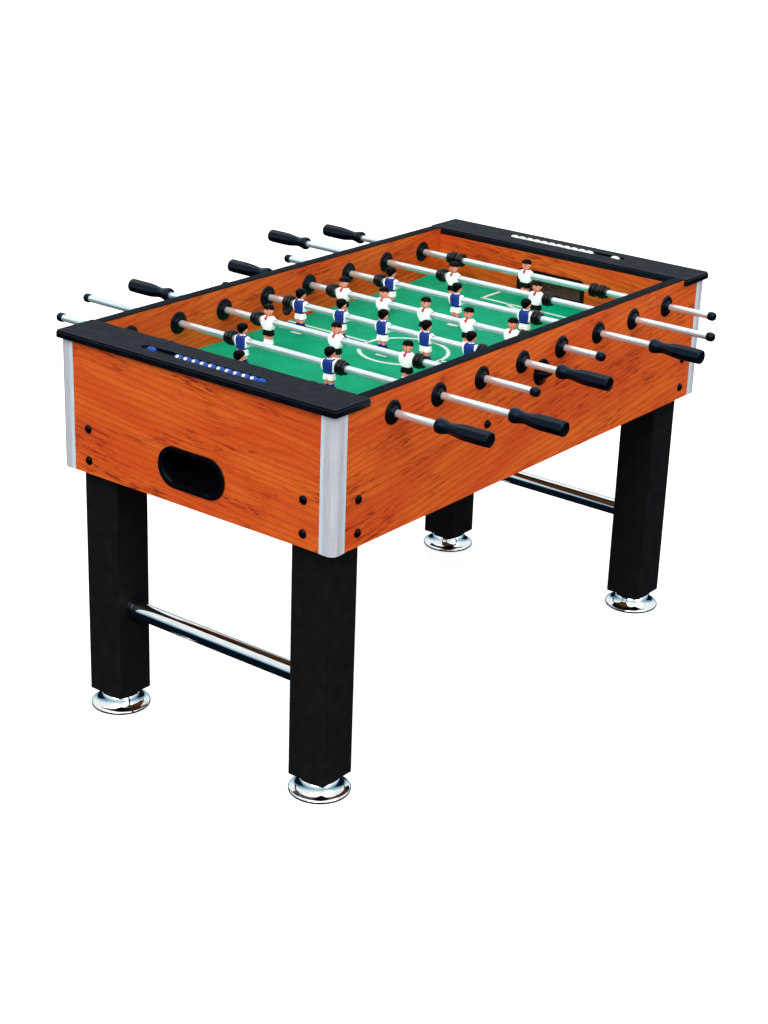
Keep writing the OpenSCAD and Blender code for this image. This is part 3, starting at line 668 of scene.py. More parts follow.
# Rows are height, half width, half depth, centre forward, centre sideways, from the rod's centre.
playerShape = {
    "torso": [(13.2, 5.0, 4.6, 0, 0), (12.4, 8.6, 6.6, 0, 0), (11.4, 11.8, 8.8, 0, 0),
              (9, 13.8, 10.4, 0, 0), (4, 15.0, 11.5, 0, 0), (-2, 15.1, 11.8, 0, 0), (-8, 14.4, 11.7, 0, 0),
              (-13, 13.4, 11.4, 0, 0), (-17, 12.7, 11.0, 0, 0), (-18.2, 11.8, 10.2, 0, 0)],
    "arm": [(11.0, 1.2, 2.4, 0, 12.2), (9.8, 2.8, 5.2, 0, 13.4), (7, 3.8, 7.2, 0, 14.8),
            (3, 4.1, 8.0, 0, 15.6), (-1, 4.1, 8.4, 0, 15.9), (-4.5, 4.0, 8.3, 0.1, 15.6),
            (-8, 3.8, 8.0, 0.2, 14.8), (-11, 3.5, 7.6, 0.2, 13.7), (-13.2, 3.0, 6.8, 0.2, 12.8),
            (-14, 2.0, 5.4, 0.2, 12.2)],
    "pelvis": [(-17, 12.0, 9.8, 0, 0), (-19, 12.4, 10.0, 0, 0), (-23, 12.8, 10.2, 0, 0),
               (-26.5, 12.8, 10.0, 0, 0), (-28, 11.6, 9.0, 0, 0)],
    "shortLeg": [(-23, 5.9, 9.6, 0, 6.6), (-27, 6.3, 10.0, 0, 6.7), (-30.8, 6.6, 10.2, 0, 6.8),
                 (-31.8, 6.4, 10.0, 0, 6.8), (-32.2, 5.6, 9.2, 0, 6.8)],
    "leg": [(-30, 4.9, 7.4, 0, 5.7), (-34, 5.1, 7.9, 0, 5.5), (-37.5, 5.0, 8.0, 0.4, 5.4),
            (-40.5, 4.6, 7.4, 0.2, 5.4), (-43.5, 4.6, 7.0, 0, 5.4)],
    "sock": [(-41.4, 4.7, 7.2, 0, 5.4), (-42.2, 5.2, 8.0, 0, 5.4), (-43.6, 5.2, 8.0, 0, 5.4),
             (-44.8, 4.8, 7.5, 0, 5.4), (-48.5, 4.8, 7.3, 0, 5.4)],
    "boot": [(-46.2, 4.6, 7.2, 0, 5.4), (-48, 5.1, 8.3, 0.7, 5.4), (-50.4, 5.5, 10.2, 1.6, 5.4),
             (-52.6, 5.6, 10.9, 2.0, 5.4), (-53.8, 5.1, 10.4, 2.0, 5.4)],
    "neck": [(9, 5.2, 5.4, 0, 0), (13, 5.0, 5.2, 0.2, 0), (19, 4.8, 5.2, 0.2, 0)],
    "head": [(14.3, 1.4, 1.6, 3.4, 0), (15.1, 4.4, 4.8, 2.8, 0), (17.4, 7.4, 8.2, 1.9, 0),
             (20.5, 9.5, 10.3, 1.0, 0), (24, 10.7, 11.3, 0.4, 0), (28, 11.1, 11.5, 0, 0),
             (32, 10.6, 11.1, -0.2, 0), (35.5, 8.7, 9.5, -0.4, 0), (37.8, 5.4, 6.2, -0.5, 0),
             (38.6, 1.6, 2.2, -0.5, 0)],
    "ear": ((-0.6, 10.8, 25.2), (2.4, 1.5, 3.2)),
    "nose": ((11.1, 0, 24.0), (1.8, 1.5, 2.3)),
    "eye": ((10.4, 4.0, 27.2), (1.1, 1.5, 1.0)),
    "brow": ((10.5, 4.1, 29.3), (1.1, 2.2, 0.6)),
    "mouth": ((10.3, 0, 19.8), (1.1, 2.6, 0.6)),
    # share of a half turn away from the face, and height of the hair's lower edge there
    "hairline": [(0, 30.8), (0.22, 30.4), (0.36, 29.4), (0.46, 28.8), (0.56, 27.4), (0.64, 25.6),
                 (0.72, 23.0), (0.82, 19.2), (0.9, 16.8), (1, 15.6)],
    "hairTop": 39.3,
    "collar": (12.6, 14.4, 9.4),  # its lower and upper edge, and the depth of the V in front
}


def overHead(keys, angle, topZ, lowZ, lift, rows, grow=1.0):
    # a skin over a loft: heights run from topZ down to lowZ for each angle, and radii are the
    # loft's own at that height plus the lift
    k = flowing(keys, 60)
    k = k[np.argsort(k[:, 0])]
    t = np.linspace(0, 1, rows)[:, None]
    z = topZ + (lowZ - topZ) * t
    inside = k[:, 0].min() + (z - k[:, 0].min()) / grow
    a, b, cx = (np.interp(inside, k[:, 0], k[:, i]) for i in (1, 2, 3))
    x, y = cx + (b + lift) * np.cos(angle), (a + lift) * np.sin(angle)
    return np.stack([x, y, z * np.ones_like(angle)], -1)


def awayFromFront(angle):
    return np.abs(np.angle(np.exp(1j * angle)))


def hairSheet(paint):
    # the hair comes down to a fringe in front, round the ears, and to a point at the nape
    s = playerShape
    angle = circle(36)
    away = awayFromFront(angle) / np.pi
    low = np.interp(away, *zip(*s["hairline"])) + 0.4 * np.cos(angle * 9) * (away < 0.3)
    outer = overHead(s["head"], angle, s["hairTop"], low, 1.1, 14, 1.025)
    # the fringe swells forward above its edge by a bell curve of the way down
    down = np.linspace(0, 1, 14)[:, None]
    swell = np.exp(-((down - 0.8) / 0.25) ** 2) * np.maximum(np.cos(angle), 0)
    outer = outer + np.array([0.7, 0, 0.35]) * swell[..., None]
    inner = overHead(s["head"], angle, low, low, -0.6, 2, 1.025)[:1]
    closed = capped(np.concatenate([outer, inner]))
    closed[0, :, 2] += 0.1
    return gridSheet(closed, paint)


def collarSheet(paint):
    # a band round the neck whose front drops to a V on the chest
    low, top, drop = playerShape["collar"]
    angle = circle(40)
    edge = low - drop * np.clip(1 - awayFromFront(angle) / 0.5, 0, 1)
    outer, inner = (overHead(playerShape["torso"], angle, top, edge, lift, 8) for lift in (0.5, -0.8))
    return gridSheet(np.concatenate([outer, inner[::-1]]), paint, looped=True)


# what paints each part of a figure, in the order that playerSheets numbers them:
# skin, hair, jersey, sleeves, shorts, boots, collar, features, lips, socks
kits = {
    "player_blue": ["skin", "hair", "blueJersey", "whiteJersey", "whiteJersey", "navyBoots", "whiteJersey",
                    "features", "lips", "navyBoots"],
    "player_white": ["skin", "hair", "whiteJersey", "whiteJersey", "blackShorts", "whiteJersey", "redCollar",
                     "features", "lips", "whiteJersey"],
}


def playerSheets():
    s = playerShape
    sheets = [
        gridSheet(lofted(s["torso"], 22, 40, 3.0), 2),
        gridSheet(lofted(s["pelvis"], 9, 32, 2.4), 4),
        gridSheet(lofted(s["neck"], 6, 20), 0),
        gridSheet(lofted(s["head"], 22, 32, 2.15), 0),
        hairSheet(1),
        collarSheet(6),
        gridSheet(egg(*s["nose"]), 0),
        gridSheet(egg(*s["mouth"]), 8),
    ]
    pair = [
        gridSheet(lofted(s["arm"], 18, 24, 2.6), 3),
        gridSheet(lofted(s["shortLeg"], 10, 24, 2.5), 4),
        gridSheet(lofted(s["leg"], 10, 20), 0),
        gridSheet(lofted(s["sock"], 12, 20, 2.2), 9),
        gridSheet(lofted(s["boot"], 14, 24, 2.8), 5),
        gridSheet(egg(*s["ear"]), 0),
        gridSheet(egg(*s["eye"], 7, 10), 7),
        gridSheet(egg(*s["brow"], 7, 10), 1),
    ]
    return sheets + shifted(pair, np.diag([1, -1, 1])) + pair


def rodPlayers(k, figure):
    # the men on one rod face the other team
    rod = rods[k]
    team, facing = ("player_blue", 1) if rod["side"] < 0 else ("player_white", -1)
    sheets = []
    for i in range(rod["men"]):
        y = rod["middle"] + (i - (rod["men"] - 1) / 2) * manGap[rod["men"]]
        sheets += shifted(figure, np.diag([facing, facing, 1]), (rod["x"], y, rod["z"]))
    makePiece(f"players{k}", sheets, kits[team], rod["body"], [f"rod_{k}_players"], 70)


figure = playerSheets()
for k in rods:
    rodBar(k)
    rodGrips(k)
    rodBumpers(k)
    rodPlayers(k, figure)
print("rods and players made")

# bushes and their nuts

bushShape = {
    # radius and distance out from the side panel's outer face
    "outside": [(8.05, 2), (8.05, 10.4), (8.6, 11), (9.9, 11), (10.6, 10.4), (11.2, 9), (12.0, 5.8),
                (13, 4.5), (14.8, 4), (19, 3.95), (21.6, 3.8), (23.6, 2.7), (25, 1.5), (25.5, 0.9),
                (25.5, 0.3), (25.2, 0), (12, 0), (12, -2), (8.05, -2)],
    # radius and distance in from the side panel's inner face
    "inside": [(8.05, -2), (8.05, 8.4), (8.6, 9), (13.4, 9), (14.5, 8.6), (15, 7.4), (15.2, 5.2),
               (15.9, 4.3), (17.6, 4), (21.4, 3.8), (23.6, 2.7), (25, 1.5), (25.5, 0.9), (25.5, 0.3),
               (25.2, 0), (12, 0), (12, -2)],
}


def bushes():
    panelLow, panelHigh = boxMm("side_panel_near")
    for name, node, line, y, way in (("rodBushes", "rod_bushes", "outside", panelLow[1], -1),
                                     ("bushNuts", "bush_nuts", "inside", panelHigh[1], 1)):
        ring = turned(bushShape[line], 56)
        sheets = [gridSheet(aimed(ring, (rod["x"], side * y, rod["z"]), (0, side * way, 0)), looped=True)
                  for rod in rods.values() for side in (1, -1)]
        makePiece(name, sheets, ["mouldedBlack"], "root", [node], 42)


bushes()
print("bushes made")

# end boards with their slots, and the rails between them

boardShape = {
    "cornerR": 6,
    "stepHigh": 4.5,
    "stepIn": 2,
    "slotWide": 24,
    "slotLong": 340,
    "slotDeep": 14,
    "slotMiddle": 665,  # the slot's middle line, out from the table's middle
}


def endBoard(end):
    # one section carried round: under the board, up its stepped edge, over the top to the slot's
    # rim, and down to the slot's floor; the slot's outline has as many points as the board's
    s = boardShape
    low, high = boxMm("end_board_" + end)
    size, middle = high - low, (low + high) / 2
    top, bottom = high[2], low[2]
    step, slotFloor = top - s["stepHigh"], top - s["slotDeep"]
    outer, out = roundedOutline(size[0], size[1], s["cornerR"], 10)
    slot, slotOut = roundedOutline(s["slotWide"], s["slotLong"], s["slotWide"] / 2 - 0.001, 10)
    slot = slot + np.array([np.sign(middle[0]) * s["slotMiddle"] - middle[0], 0])
    edge = softened([(-20, bottom), (0, bottom), (0, step), (-s["stepIn"], step),
                     (-s["stepIn"], top), (-20, top)], [1.2, 1.2, 0.5, 1.6], 5)[1:-1]
    rim = softened([(9, top), (0, top), (0, slotFloor), (-9, slotFloor)], [1.4, 1.0], 5)[1:-1]
    around = ringsFrom(outer, out, edge)
    floorLine = ringsFrom(slot, slotOut, [(-s["slotWide"] / 2 + 0.001, slotFloor)])
    underLine = floorLine * np.array([1, 1, 0]) + np.array([0, 0, bottom])
    points = np.concatenate([underLine, around, ringsFrom(slot, slotOut, rim), floorLine])
    # the flat face is foil and all else takes the edging black: real edging on the sides and underside, and
    # painted shade on the slot's walls and floor
    faceRow = 1 + int(np.argmax(edge[:, 1] > top - 0.02))
    kinds = np.ones(len(points) - 1, int)
    kinds[faceRow:len(around) + 2] = 0
    sheet = gridSheet(points + np.array([*middle[:2], 0]), np.repeat(kinds, points.shape[1]))
    makePiece("endBoard" + end.title(), [sheet], ["boardBlack", "edgingAndSlotShade"], "root",
              ["end_board_" + end], 32)


railShape = {"cornerR": 0.9}


def sideRails():
    # a shallow rounded edging strip on each side panel's top
    low, high = boxMm("side_rails")
    panelLow, panelHigh = boxMm("side_panel_near")
    wide = panelHigh[1] - panelLow[1]
    outline, out = roundedOutline(wide, high[2] - low[2], railShape["cornerR"], 5)
    strip = capped(ringsFrom(outline, out, [(0, low[0]), (0, high[0])]))[..., [2, 0, 1]]
    sheets = [gridSheet(strip + np.array([0, side * (high[1] - wide / 2), (low[2] + high[2]) / 2]))
              for side in (-1, 1)]
    makePiece("sideRails", sheets, ["railBlack"], "root", ["side_rails"], 32)


for end in ("near", "far"):
    endBoard(end)
sideRails()
print("end boards made")

# scorers

beadShape = {
    "long": 22,
    "r": 7.98,
    "bore": 2.05,
    "endR": 4.6,  # flat end
    "shoulder": 5.2,  # radius where the belly starts
    "belly": 2.4,  # the higher, the fuller
    "spot": (4.6, 3.6, 0.9),  # half sizes of the white spot, a painted highlight: along the wire, round the bead, and proud
    "spotSunk": 0.7,
    "spotTilt": 47,  # degrees up from level, facing the outside of the table
}


def beads(kind, end, colour, count, glintSpotted=False):
    # the radius swells from the shoulder by 1 - |t| to a power, t running from end to end
    s = beadShape
    node = f"{kind}_{end}"
    low, high = boxMm(node)
    half = s["long"] / 2
    t = np.linspace(-1, 1, 15)
    face = np.stack([s["shoulder"] + (s["r"] - s["shoulder"]) * (1 - np.abs(t) ** s["belly"]),
                     t * (half - 0.3)], 1)
    profile = np.concatenate([[(s["bore"], 0), (s["bore"], -half), (s["endR"], -half)], face,
                              [(s["endR"], half), (s["bore"], half)]])
    ring = turned(profile, 28)
    ys = np.linspace(low[1] + half, high[1] - half, count)
    x, z = (low[0] + high[0]) / 2, (low[2] + high[2]) / 2
    sheets = [gridSheet(aimed(ring, (x, y, z), (0, 1, 0)), looped=True) for y in ys]
    # a white spot on each blue bead but the first, turned up toward the key light, is a painted highlight
    if glintSpotted:
        tilt = math.radians(s["spotTilt"])
        facing = np.array([np.sign(x) * math.cos(tilt), 0, math.sin(tilt)])
        axes = np.stack([[0, 1, 0], np.cross(facing, [0, 1, 0]), facing])
        glintSpot = egg((0, 0, 0), s["spot"], 9, 20) @ axes + facing * (s["r"] - s["spotSunk"])
        sheets += [gridSheet(glintSpot + [x, y, z], 1) for y in ys[1:]]
    makePiece(node.title().replace("_", ""), sheets, ["bead" + colour.title(), "beadWhite"], node,
              [node], 50)


def scorerWires():
    low, high = boxMm("scorer_wires")
    r = (high[2] - low[2]) / 2
    wire = turned(softened([(0, low[1]), (r, low[1]), (r, high[1]), (0, high[1])], 0.3, 3), 20)
    sheets = [gridSheet(aimed(wire, (side * (high[0] - r), 0, low[2] + r), (0, 1, 0))) for side in (-1, 1)]
    makePiece("scorerWires", sheets, ["screwBlack"], "root", ["scorer_wires"])


for end, colour in (("near", "blue"), ("far", "white")):
    beads("scored_bead", end, colour, 1)
    beads("waiting_beads", end, colour, 11, colour == "blue")
scorerWires()
print("scorers made")

# pitch

pitchShape = {
    "cornerR": 5,
    "rampRun": 150,
    "rampRise": 9,
    "rampFrom": 601,  # the end walls' playing faces, out from the middle
    "lineWide": 8.8,
    "lineHigh": 0.14,
}


def fieldHeight():
    # the playfield's solid reaches up to the top of its corner ramps
    return boxMm("playfield")[1][2] - pitchShape["rampRise"]


def cornerRamps():
    # height falls from the corner along both walls: rise times (1 - distance share) to the power 1.25
    s = pitchShape
    field, insideY = fieldHeight(), boxMm("playfield")[1][1]
    u, v = np.linspace(0, 1, 15)[:, None], np.linspace(0, 1, 15)[None, :]
    reach = u * s["rampRun"]
    rise = field + s["rampRise"] * (1 - u) ** 1.25
    top = np.stack([reach * (1 - v), reach * v, rise * np.ones_like(v)], -1)
    base = top * np.array([1, 1, 0]) + np.array([0, 0, field - 1])
    sheets = []
    for sx, sy in fourCorners:
        upper, lower = (points * np.array([-sx, -sy, 1]) + np.array([sx * s["rampFrom"], sy * insideY, 0])
                        for points in (top, base))
        sheets.append(gridSheet(np.concatenate([upper, lower[::-1]]), ringed=False))
        # the two straight sides stand between the first and the last points of the rows
        sheets += [gridSheet(np.stack([upper[:, i], lower[:, i]], 1), ringed=False) for i in (0, -1)]
    return sheets


def pitchBoard():
    s = pitchShape
    low, high = boxMm("playfield")
    field = fieldHeight()
    outline, out = roundedOutline(high[0] - low[0], high[1] - low[1], s["cornerR"], 4)
    profile = softened([(-4, low[2]), (0, low[2]), (0, field), (-4, field)], 0.4, 3)
    board = gridSheet(capped(ringsFrom(outline, out, profile)))
    makePiece("pitch", [board] + cornerRamps(), ["pitch"], "root", ["playfield"], 30)


def stripe(line, closed=False, wide=pitchShape["lineWide"]):
    # a printed line: a flat strip carried along a path, square to it
    path = np.array(line, float)
    ahead = np.roll(path, -1, 0) - np.roll(path, 1, 0) if closed else np.gradient(path, axis=0)
    ahead /= np.linalg.norm(ahead, axis=1, keepdims=True)
    out = np.stack([-ahead[:, 1], ahead[:, 0]], 1)
    half, high = wide / 2, pitchShape["lineHigh"]
    edge = np.array([(half - 0.1, high), (half, high - 0.04), (half, -0.3)])
    points = ringsFrom(path, out, np.concatenate([edge[::-1] * [-1, 1], edge])).swapaxes(0, 1)
    return gridSheet(points if closed else capped(points), looped=closed)


# millimetres from the middle of the field
markings = {
    "circleR": 102,
    "boxX": 495,  # the front of the box, its half width, and its back
    "boxY": 132,
    "endX": 600,
    "arcR": 78,  # the arc before the box, and the half width of what shows of it
    "arcY": 55,
    "dash": 30,
    "dashWide": 13.5,
    "dashes": [(-60, 16), (-60, 268)],  # each comes back turned half way round
    "loneDash": (248, 42),
}


def straight(x0, y0, x1, y1, count=12):
    return np.linspace((x0, y0), (x1, y1), count)


def pitchLines():
    m = markings
    sideY = boxMm("playfield")[1][1] - 1
    angle = circle(96)
    sheets = [
        stripe(np.stack([np.cos(angle), np.sin(angle)], 1) * m["circleR"], True),
        stripe(straight(0, -sideY, 0, -m["circleR"])),
        stripe(straight(0, m["circleR"], 0, sideY)),
    ]
    half = pitchShape["lineWide"] / 2
    reach = math.asin(m["arcY"] / m["arcR"])
    bow = np.linspace(-reach, reach, 30)
    arcX = m["boxX"] + math.sqrt(m["arcR"] ** 2 - m["arcY"] ** 2)
    ends = [
        stripe(straight(m["boxX"], -m["boxY"] - half, m["boxX"], m["boxY"] + half)),
        stripe(straight(m["boxX"], -m["boxY"], m["endX"], -m["boxY"])),
        stripe(straight(m["boxX"], m["boxY"], m["endX"], m["boxY"])),
        stripe(np.stack([arcX - m["arcR"] * np.cos(bow), m["arcR"] * np.sin(bow)], 1)),
    ]
    dashes = [stripe(straight(x, y - m["dash"] / 2, x, y + m["dash"] / 2, 4), wide=m["dashWide"])
              for x, y in [m["loneDash"]] + m["dashes"]]
    sheets = shifted(sheets + dashes[:1] + halfTurned(ends + dashes[1:]), None, (0, 0, fieldHeight()))
    makePiece("pitchLines", sheets, ["pitchLines"], "root", (), 30)


pitchBoard()
pitchLines()
print("pitch made")

# goals

goalShape = {"wide": 200, "high": 66, "r": 16, "band": 11, "proud": 2.6, "wall": 2.5, "deep": 18}


def archPath(wide, high, r, steps):
    # up one side, over and down the other, with outward directions
    turn = np.linspace(0, np.pi / 2, steps)
    left = np.stack([-wide / 2 + r - r * np.cos(turn), high - r + r * np.sin(turn)], 1)
    leftOut = np.stack([-np.cos(turn), np.sin(turn)], 1)
    right, rightOut = left[::-1] * [-1, 1], leftOut[::-1] * [-1, 1]
    points = np.concatenate([[(-wide / 2, 0)], left, right, [(wide / 2, 0)]])
    out = np.concatenate([[(-1, 0)], leftOut, rightOut, [(1, 0)]])
    return points, out


def goalLiners():
    # a frame round each goal's mouth that turns back into it as a thin lining
    s = goalShape
    path, out = archPath(s["wide"], s["high"], s["r"], 8)
    inner = s["wall"] - s["band"]
    # offset from the outer edge, and distance out of the wall's playing face
    profile = softened([(0, -0.5), (0, s["proud"]), (-s["band"], s["proud"]), (-s["band"], -s["deep"]),
                        (inner, -s["deep"]), (inner, -0.5)], [0.9, 1.3, 0.6, 0.6], 4)
    y, z, depth = np.moveaxis(ringsFrom(path, out, profile).swapaxes(0, 1), -1, 0)
    z = np.maximum(z, 0) + boxMm("goal_liners")[0][2]
    frameRings = np.stack([depth - pitchShape["rampFrom"], y, z], -1)
    makePiece("goalLiners", halfTurned([gridSheet(capped(frameRings))]), ["mouldedBlack"], "root",
              ["goal_liners"], 35)


goalLiners()
print("goals made")

# ball entry cups and the rim of the ball return

entryShape = {
    "scoopR": 27,
    "wall": 3,
    "reach": (6, 96),  # degrees up from the scoop's bottom: its first ring, and its lip
    "hollow": 0.32,  # how far its underside is drawn in between the panel and the lip
    # radius and distance out from the side panel's face
    "flange": [(18.8, -26), (18.8, 1.6), (20.0, 3), (22, 3.4), (26, 3.3), (28.8, 2.6), (30, 1.3), (30, 0.2),
               (29.6, -0.2), (19.4, -0.2), (19.4, -26)],
}


def entryCups():
    # a flange round each hole, and under it a spout: radius R drawn in by (1 - hollow sin 2t sin f),
    # tilt t up from the bottom and turn f round give (R sin t cos f, -R sin t sin f, -R cos t)
    s = entryShape
    turn = np.linspace(0, np.pi, 33)[:, None]
    tilt = np.radians(np.linspace(*s["reach"], 22))
    lip = np.linspace(0, np.pi / 2, 5)[1:]
    half = s["wall"] / 2
    mid = s["scoopR"] - half
    up = np.concatenate([tilt, tilt[-1] + half * np.sin(lip) / mid])
    faces = []
    for side in (1, -1):
        radius = mid + side * half * np.concatenate([np.ones(len(tilt)), np.cos(lip)])
        radius = radius * (1 - s["hollow"] * np.sin(np.clip(2 * up, 0, np.pi)) * np.sin(turn))
        across = radius * np.sin(up)
        faces.append(np.stack([across * np.cos(turn), -across * np.sin(turn), -radius * np.cos(up)], -1))
    top = boxMm("ball_entry_cups")[1][2]
    where = (0, boxMm("side_panel_near")[0][1], top - max(row[0] for row in s["flange"]))
    cup = shifted([gridSheet(shell(*faces))], None, where)
    cup.append(gridSheet(aimed(turned(s["flange"], 48), where, (0, -1, 0)), looped=True))
    makePiece("ballEntryCups", halfTurned(cup), ["mouldedBlack"], "root",
              ["ball_entry_cups"], 40)


returnShape = {
    "wide": 184,
    "tall": 90,
    "height": 654,
    "lip": 3,  # how proud the solid's flange stands
    # inward from the flange's edge, and distance out from the panel: a rounded facing over it
    "rim": [(-0.3, -0.6), (-0.3, 1.2), (0.2, 2.2), (1.2, 2.9), (2.8, 3.1), (4.6, 2.5), (5.6, 1.2),
            (6.4, 0.9), (7.2, 1.3), (8.2, 1.3), (9.0, 0.6), (9.4, -0.8), (9.5, -14), (9.5, -26), (7.6, -26),
            (7.6, -2), (2, -0.6)],
}


def returnRims():
    # an oval facing with a soft rolled edge that runs back into the pocket's mouth
    s = returnShape
    front = boxMm("ball_return_cups")[0][0] + s["lip"]
    outline, out = roundedOutline(s["wide"], s["tall"], s["tall"] / 2 - 0.001, 16)
    across, up, proud = np.moveaxis(ringsFrom(outline, out, np.array(s["rim"]) * [-1, 1]), -1, 0)
    # the flat oval stands up: its length runs across the table and its outward side faces -X
    points = np.stack([front - proud, -across, up + s["height"]], -1)
    makePiece("ballReturnRims", halfTurned([gridSheet(points, looped=True)]), ["rimBlack"], "root",
              (), 40)


entryCups()
returnRims()
print("ball cups made")

# corner trims

trimShape = {"thick": 2, "wide": 37, "r": 16, "strip": 9, "stepDown": 0.8}


def cornerTrims():
    # an L section carried up the cabinet's edge: a bright-cut strip along each side, a small step up to the
    # brushed face, and a round corner between the two faces; the strips' light bluish colour is a painted
    # reflection
    s = trimShape
    low, high = boxMm("corner_trims")
    turn = np.linspace(0, np.pi / 2, 20)
    arc = np.stack([np.cos(turn), np.sin(turn)], 1)
    back, down = s["wide"] - s["r"], s["stepDown"]
    inside = back - s["strip"]
    # distance back from the round corner's start, and depth below the face
    side = np.array([(back, down + 0.5), (back - 0.3, down), (back - 1.2, down), (inside + 1, down),
                     (inside, down), (inside - 0.3, 0.3), (inside - 0.8, 0), (inside - 1.6, 0), (0.4, 0)])
    first = np.stack([s["r"] - side[:, 1], -side[:, 0]], 1)
    outer = np.concatenate([first, arc * s["r"], first[::-1, ::-1]]) + high[:2] - s["r"]
    out = np.concatenate([[(1, 0)] * len(side), arc, [(0, 1)] * len(side)])
    depth = np.concatenate([side[:, 1], np.zeros(len(arc)), side[::-1, 1]])[:, None]
    inner = outer - out * (s["thick"] - depth)
    rows = np.array([low[2], low[2] + 0.4, high[2] - 0.4, high[2]])
    carried = [np.concatenate([np.broadcast_to(line, (len(rows), *line.shape)),
                               np.broadcast_to(rows[:, None, None], (len(rows), len(line), 1))], -1)
               for line in (outer, inner)]
    points = shell(*carried)
    bright = np.zeros(points.shape[1], int)
    strips = int(np.sum(side[:, 1] >= down)) - 1
    bright[:strips] = 1
    bright[len(outer) - 1 - strips:len(outer) - 1] = 1
    trim = gridSheet(points, np.tile(bright, len(points) - 1))
    sheets = [shifted([trim], np.diag([sx, sy, 1]))[0] for sx, sy in fourCorners]
    makePiece("cornerTrims", sheets, ["aluminium", "brightCutPaintedSheen"], "root", ["corner_trims"],
              30)


cornerTrims()
print("corner trims made")

# legs, tubes and levelers

legShape = {"wide": 95, "r": 3.2, "edge": 1.6}


def fourLegs():
    s = legShape
    low, high = boxMm("legs")
    outline, out = roundedOutline(s["wide"], s["wide"], s["r"], 7)
    profile = softened([(-6, low[2]), (0, low[2]), (0, high[2]), (-6, high[2])], s["edge"], 5)
    leg = capped(ringsFrom(outline, out, profile))
    corner = high * [1, 1, 0] - [s["wide"] / 2, s["wide"] / 2, 0]
    sheets = [gridSheet(leg + corner * [sx, sy, 0]) for sx, sy in fourCorners]
    makePiece("legs", sheets, ["legBlack"], "root", ["legs"], 32)


tubeShape = {
    "wall": 1.5,
    # the socket's radius and distance out from the leg's inner face
    "socket": [(19.9, -0.5), (19.9, 4.4), (20.6, 5), (23.6, 5), (25.2, 4.2), (26.4, 2.6), (27, 1.2),
               (27, 0), (26, -0.5)],
}


def crossTubes():
    low, high = boxMm("cross_tubes")
    r = (high[2] - low[2]) / 2
    x, z, inner = high[0] - r, low[2] + r, r - tubeShape["wall"]
    profile = softened([(inner, low[1]), (r, low[1]), (r, high[1]), (inner, high[1])], 0.3, 3)
    profile = np.concatenate([profile, [(inner, high[1] - 0.5), (inner, low[1] + 0.5)]])
    tube = turned(profile, 72)
    sheets = [gridSheet(aimed(tube, (side * x, 0, z), (0, 1, 0)), looped=True) for side in (-1, 1)]
    makePiece("crossTubes", sheets, ["tubeChrome"], "root", ["cross_tubes"], 32)
    # the sockets stand against the legs' inner faces
    low, high = boxMm("tube_sockets")
    x, y = high[0] - (high[2] - low[2]) / 2, high[1]
    ring = turned(tubeShape["socket"], 56)
    sheets = [gridSheet(aimed(ring, (sx * x, sy * y, z), (0, -sy, 0)), looped=True) for sx, sy in fourCorners]
    makePiece("tubeSockets", sheets, ["mouldedBlack"], "root", ["tube_sockets"], 40)


levelerShape = {
    # radius and height: rolled rim, step, shallow bell and collar
    "line": [(0, 0.6), (52, 0.6), (60, 0), (62.6, 0), (64.6, 0.6), (66, 2.2), (66.5, 4.2), (66.2, 6),
             (65, 7.6), (62.6, 8.9), (59, 10.2), (55.4, 11.8), (52, 14.2), (49.2, 17.8), (47, 22.2),
             (45.2, 27), (43.2, 31), (40.4, 33.8), (36.5, 35.2), (32, 35.8), (20, 36), (18.6, 36.4),
             (18, 37.4), (16.4, 38.9), (15.6, 39.1), (0, 39.1)],
    "stud": [(0, 38.6), (5, 38.6), (5, 69.5), (4.4, 70), (0, 70)],
}


def levelers():
    s = levelerShape
    profile = np.clip(flowing(s["line"], 110), 0, [np.inf, s["line"][-1][1]])
    for name in ("near_left", "near_right", "far_left", "far_right"):
        node = "leveler_" + name
        low, high = boxMm(node)
        place = (*(low + high)[:2] / 2, 0)
        sheets = [gridSheet(aimed(turned(line, steps), place, (0, 0, 1)))
                  for line, steps in ((profile, 96), (s["stud"], 16))]
        makePiece("leveler" + name.title().replace("_", ""), sheets, ["chrome"], node, [node], 30)


fourLegs()
crossTubes()
levelers()
print("legs made")

# screw heads

screwShape = {
    "bolt": (9.5, 5.5),  # radius and height of the head
    "boltHeights": (605, 676),
    "boltShift": 4,  # how far the end panels' bolts stand out from the leg's middle
    "small": (9.5, 7),
    "smallPlace": (197, 721),
    "dome": 1.02,  # how much of a quarter turn the dome takes, in radians
    "hex": 0.46,  # the socket's half width over the head's radius
    # the socket's rings: share of its width and of the head's height
    "socket": [(1.06, 0.97), (1.0, 0.93), (0.98, 0.35)],
}


def screwHead(radius, height):
    # a domed head with a six-sided socket: rings run up the dome and then down the socket, whose
    # radius changes with the angle to make the six flats
    s = screwShape
    angle = circle(36)
    sector = np.pi / 3
    hexagon = np.cos(sector / 2) / np.cos(np.mod(angle, sector) - sector / 2)
    dome = np.linspace(0, 1, 9) * s["dome"]
    rings = [(radius * np.cos(t), height * np.sin(t) / math.sin(s["dome"])) for t in dome]
    rings += [(radius * s["hex"] * share * hexagon, height * level) for share, level in s["socket"]]
    rows = np.array([np.stack([r * np.cos(angle), r * np.sin(angle), np.full(36, z)], -1) for r, z in rings])
    base = rows[:1] * [1, 1, 0] - [0, 0, 0.5]
    return capped(np.concatenate([base, rows]))


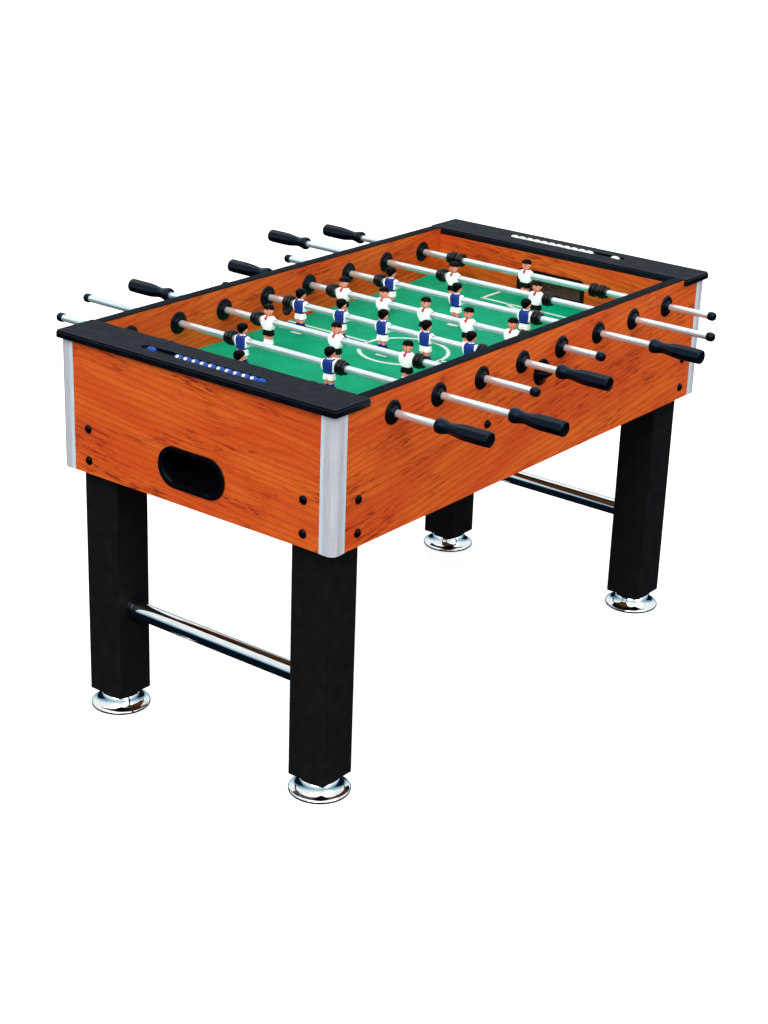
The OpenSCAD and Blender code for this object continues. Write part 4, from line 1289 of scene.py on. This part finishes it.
def screws():
    s = screwShape
    end, side = abs(boxMm("end_panels")[0][0]), abs(boxMm("side_panel_near")[0][1])
    legX, legY = boxMm("legs")[1][:2] - legShape["wide"] / 2
    bolt, small = screwHead(*s["bolt"]), screwHead(*s["small"])
    smallX, smallZ = s["smallPlace"]
    places = []
    for sx, sy in fourCorners:
        for z in s["boltHeights"]:
            places.append((bolt, (sx * end, sy * (legY + s["boltShift"]), z), (sx, 0, 0)))
            places.append((bolt, (sx * legX, sy * side, z), (0, sy, 0)))
        places.append((small, (sx * smallX, sy * side, smallZ), (0, sy, 0)))
    makePiece("screwHeads", [gridSheet(aimed(*place)) for place in places], ["screwBlack"], "root",
              (), 35)


screws()
print("screw heads made")

# finishes on the solids that stay

stays = {
    "side_panel_near": "cherryLong",
    "side_panel_far": "cherryLong",
    "end_panels": "cherryEnd",
    "goal_walls": "cherryCross",
    "inner_battens": "battens",
    "ball_return_cups": "mouldedBlack",
    "cabinet_screws": "screwBlack",
}
for node, name in stays.items():
    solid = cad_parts[node]
    if not solid.material_slots:
        solid.data.materials.append(finish[name])
    for slot in solid.material_slots:
        slot.material = finish[name]
print("solids finished")

# the floor it stands on

floorShape = {
    "side": 60000,
    "cornerR": 3000,
    "white": "#f1f1ef",
    "glow": 0.66,  # a lit floor hides most of its own shadows
    "dim": "#9a9a9a",  # what it throws back up at the table
}


def stageFloor(s):
    outline, out = roundedOutline(s["side"], s["side"], s["cornerR"], 5)
    points, quads = gridSheet(capped(ringsFrom(outline, out, [(0, 0)]))[:2])[:2]
    mesh = bpy.data.meshes.new("studioFloor")
    mesh.from_pydata((points * 0.001).tolist(), [], quads.tolist())
    work = bmesh.new()
    work.from_mesh(mesh)
    bmesh.ops.remove_doubles(work, verts=work.verts, dist=joinWithin)
    work.to_mesh(mesh)
    work.free()
    # white paper lit from below: the lens sees it white, and polished things find it dim
    material, tree, shader = newFinish(
        "paperFloor", Roughness=0.9, Base_Color=linearColour(s["white"]), Emission_Color=(1, 1, 1, 1),
        Emission_Strength=s["glow"], Specular_IOR_Level=0.0)[:3]
    dim = addNode(tree, "BsdfDiffuse", {}, {"Color": linearColour(s["dim"])})
    dark = addNode(tree, "Emission", {}, {"Color": linearColour(studio["room"][0][1])})
    tree.links.new(byRay(tree, dark, shader.outputs[0], dim), tree.nodes["Material Output"].inputs["Surface"])
    mesh.materials.append(material)
    floor = bpy.data.objects.new("studioFloor", mesh)
    bpy.context.scene.collection.objects.link(floor)


stageFloor(floorShape)
setCamera(cameraSettings)
setStudio(studio)
print("floor, camera and light set")
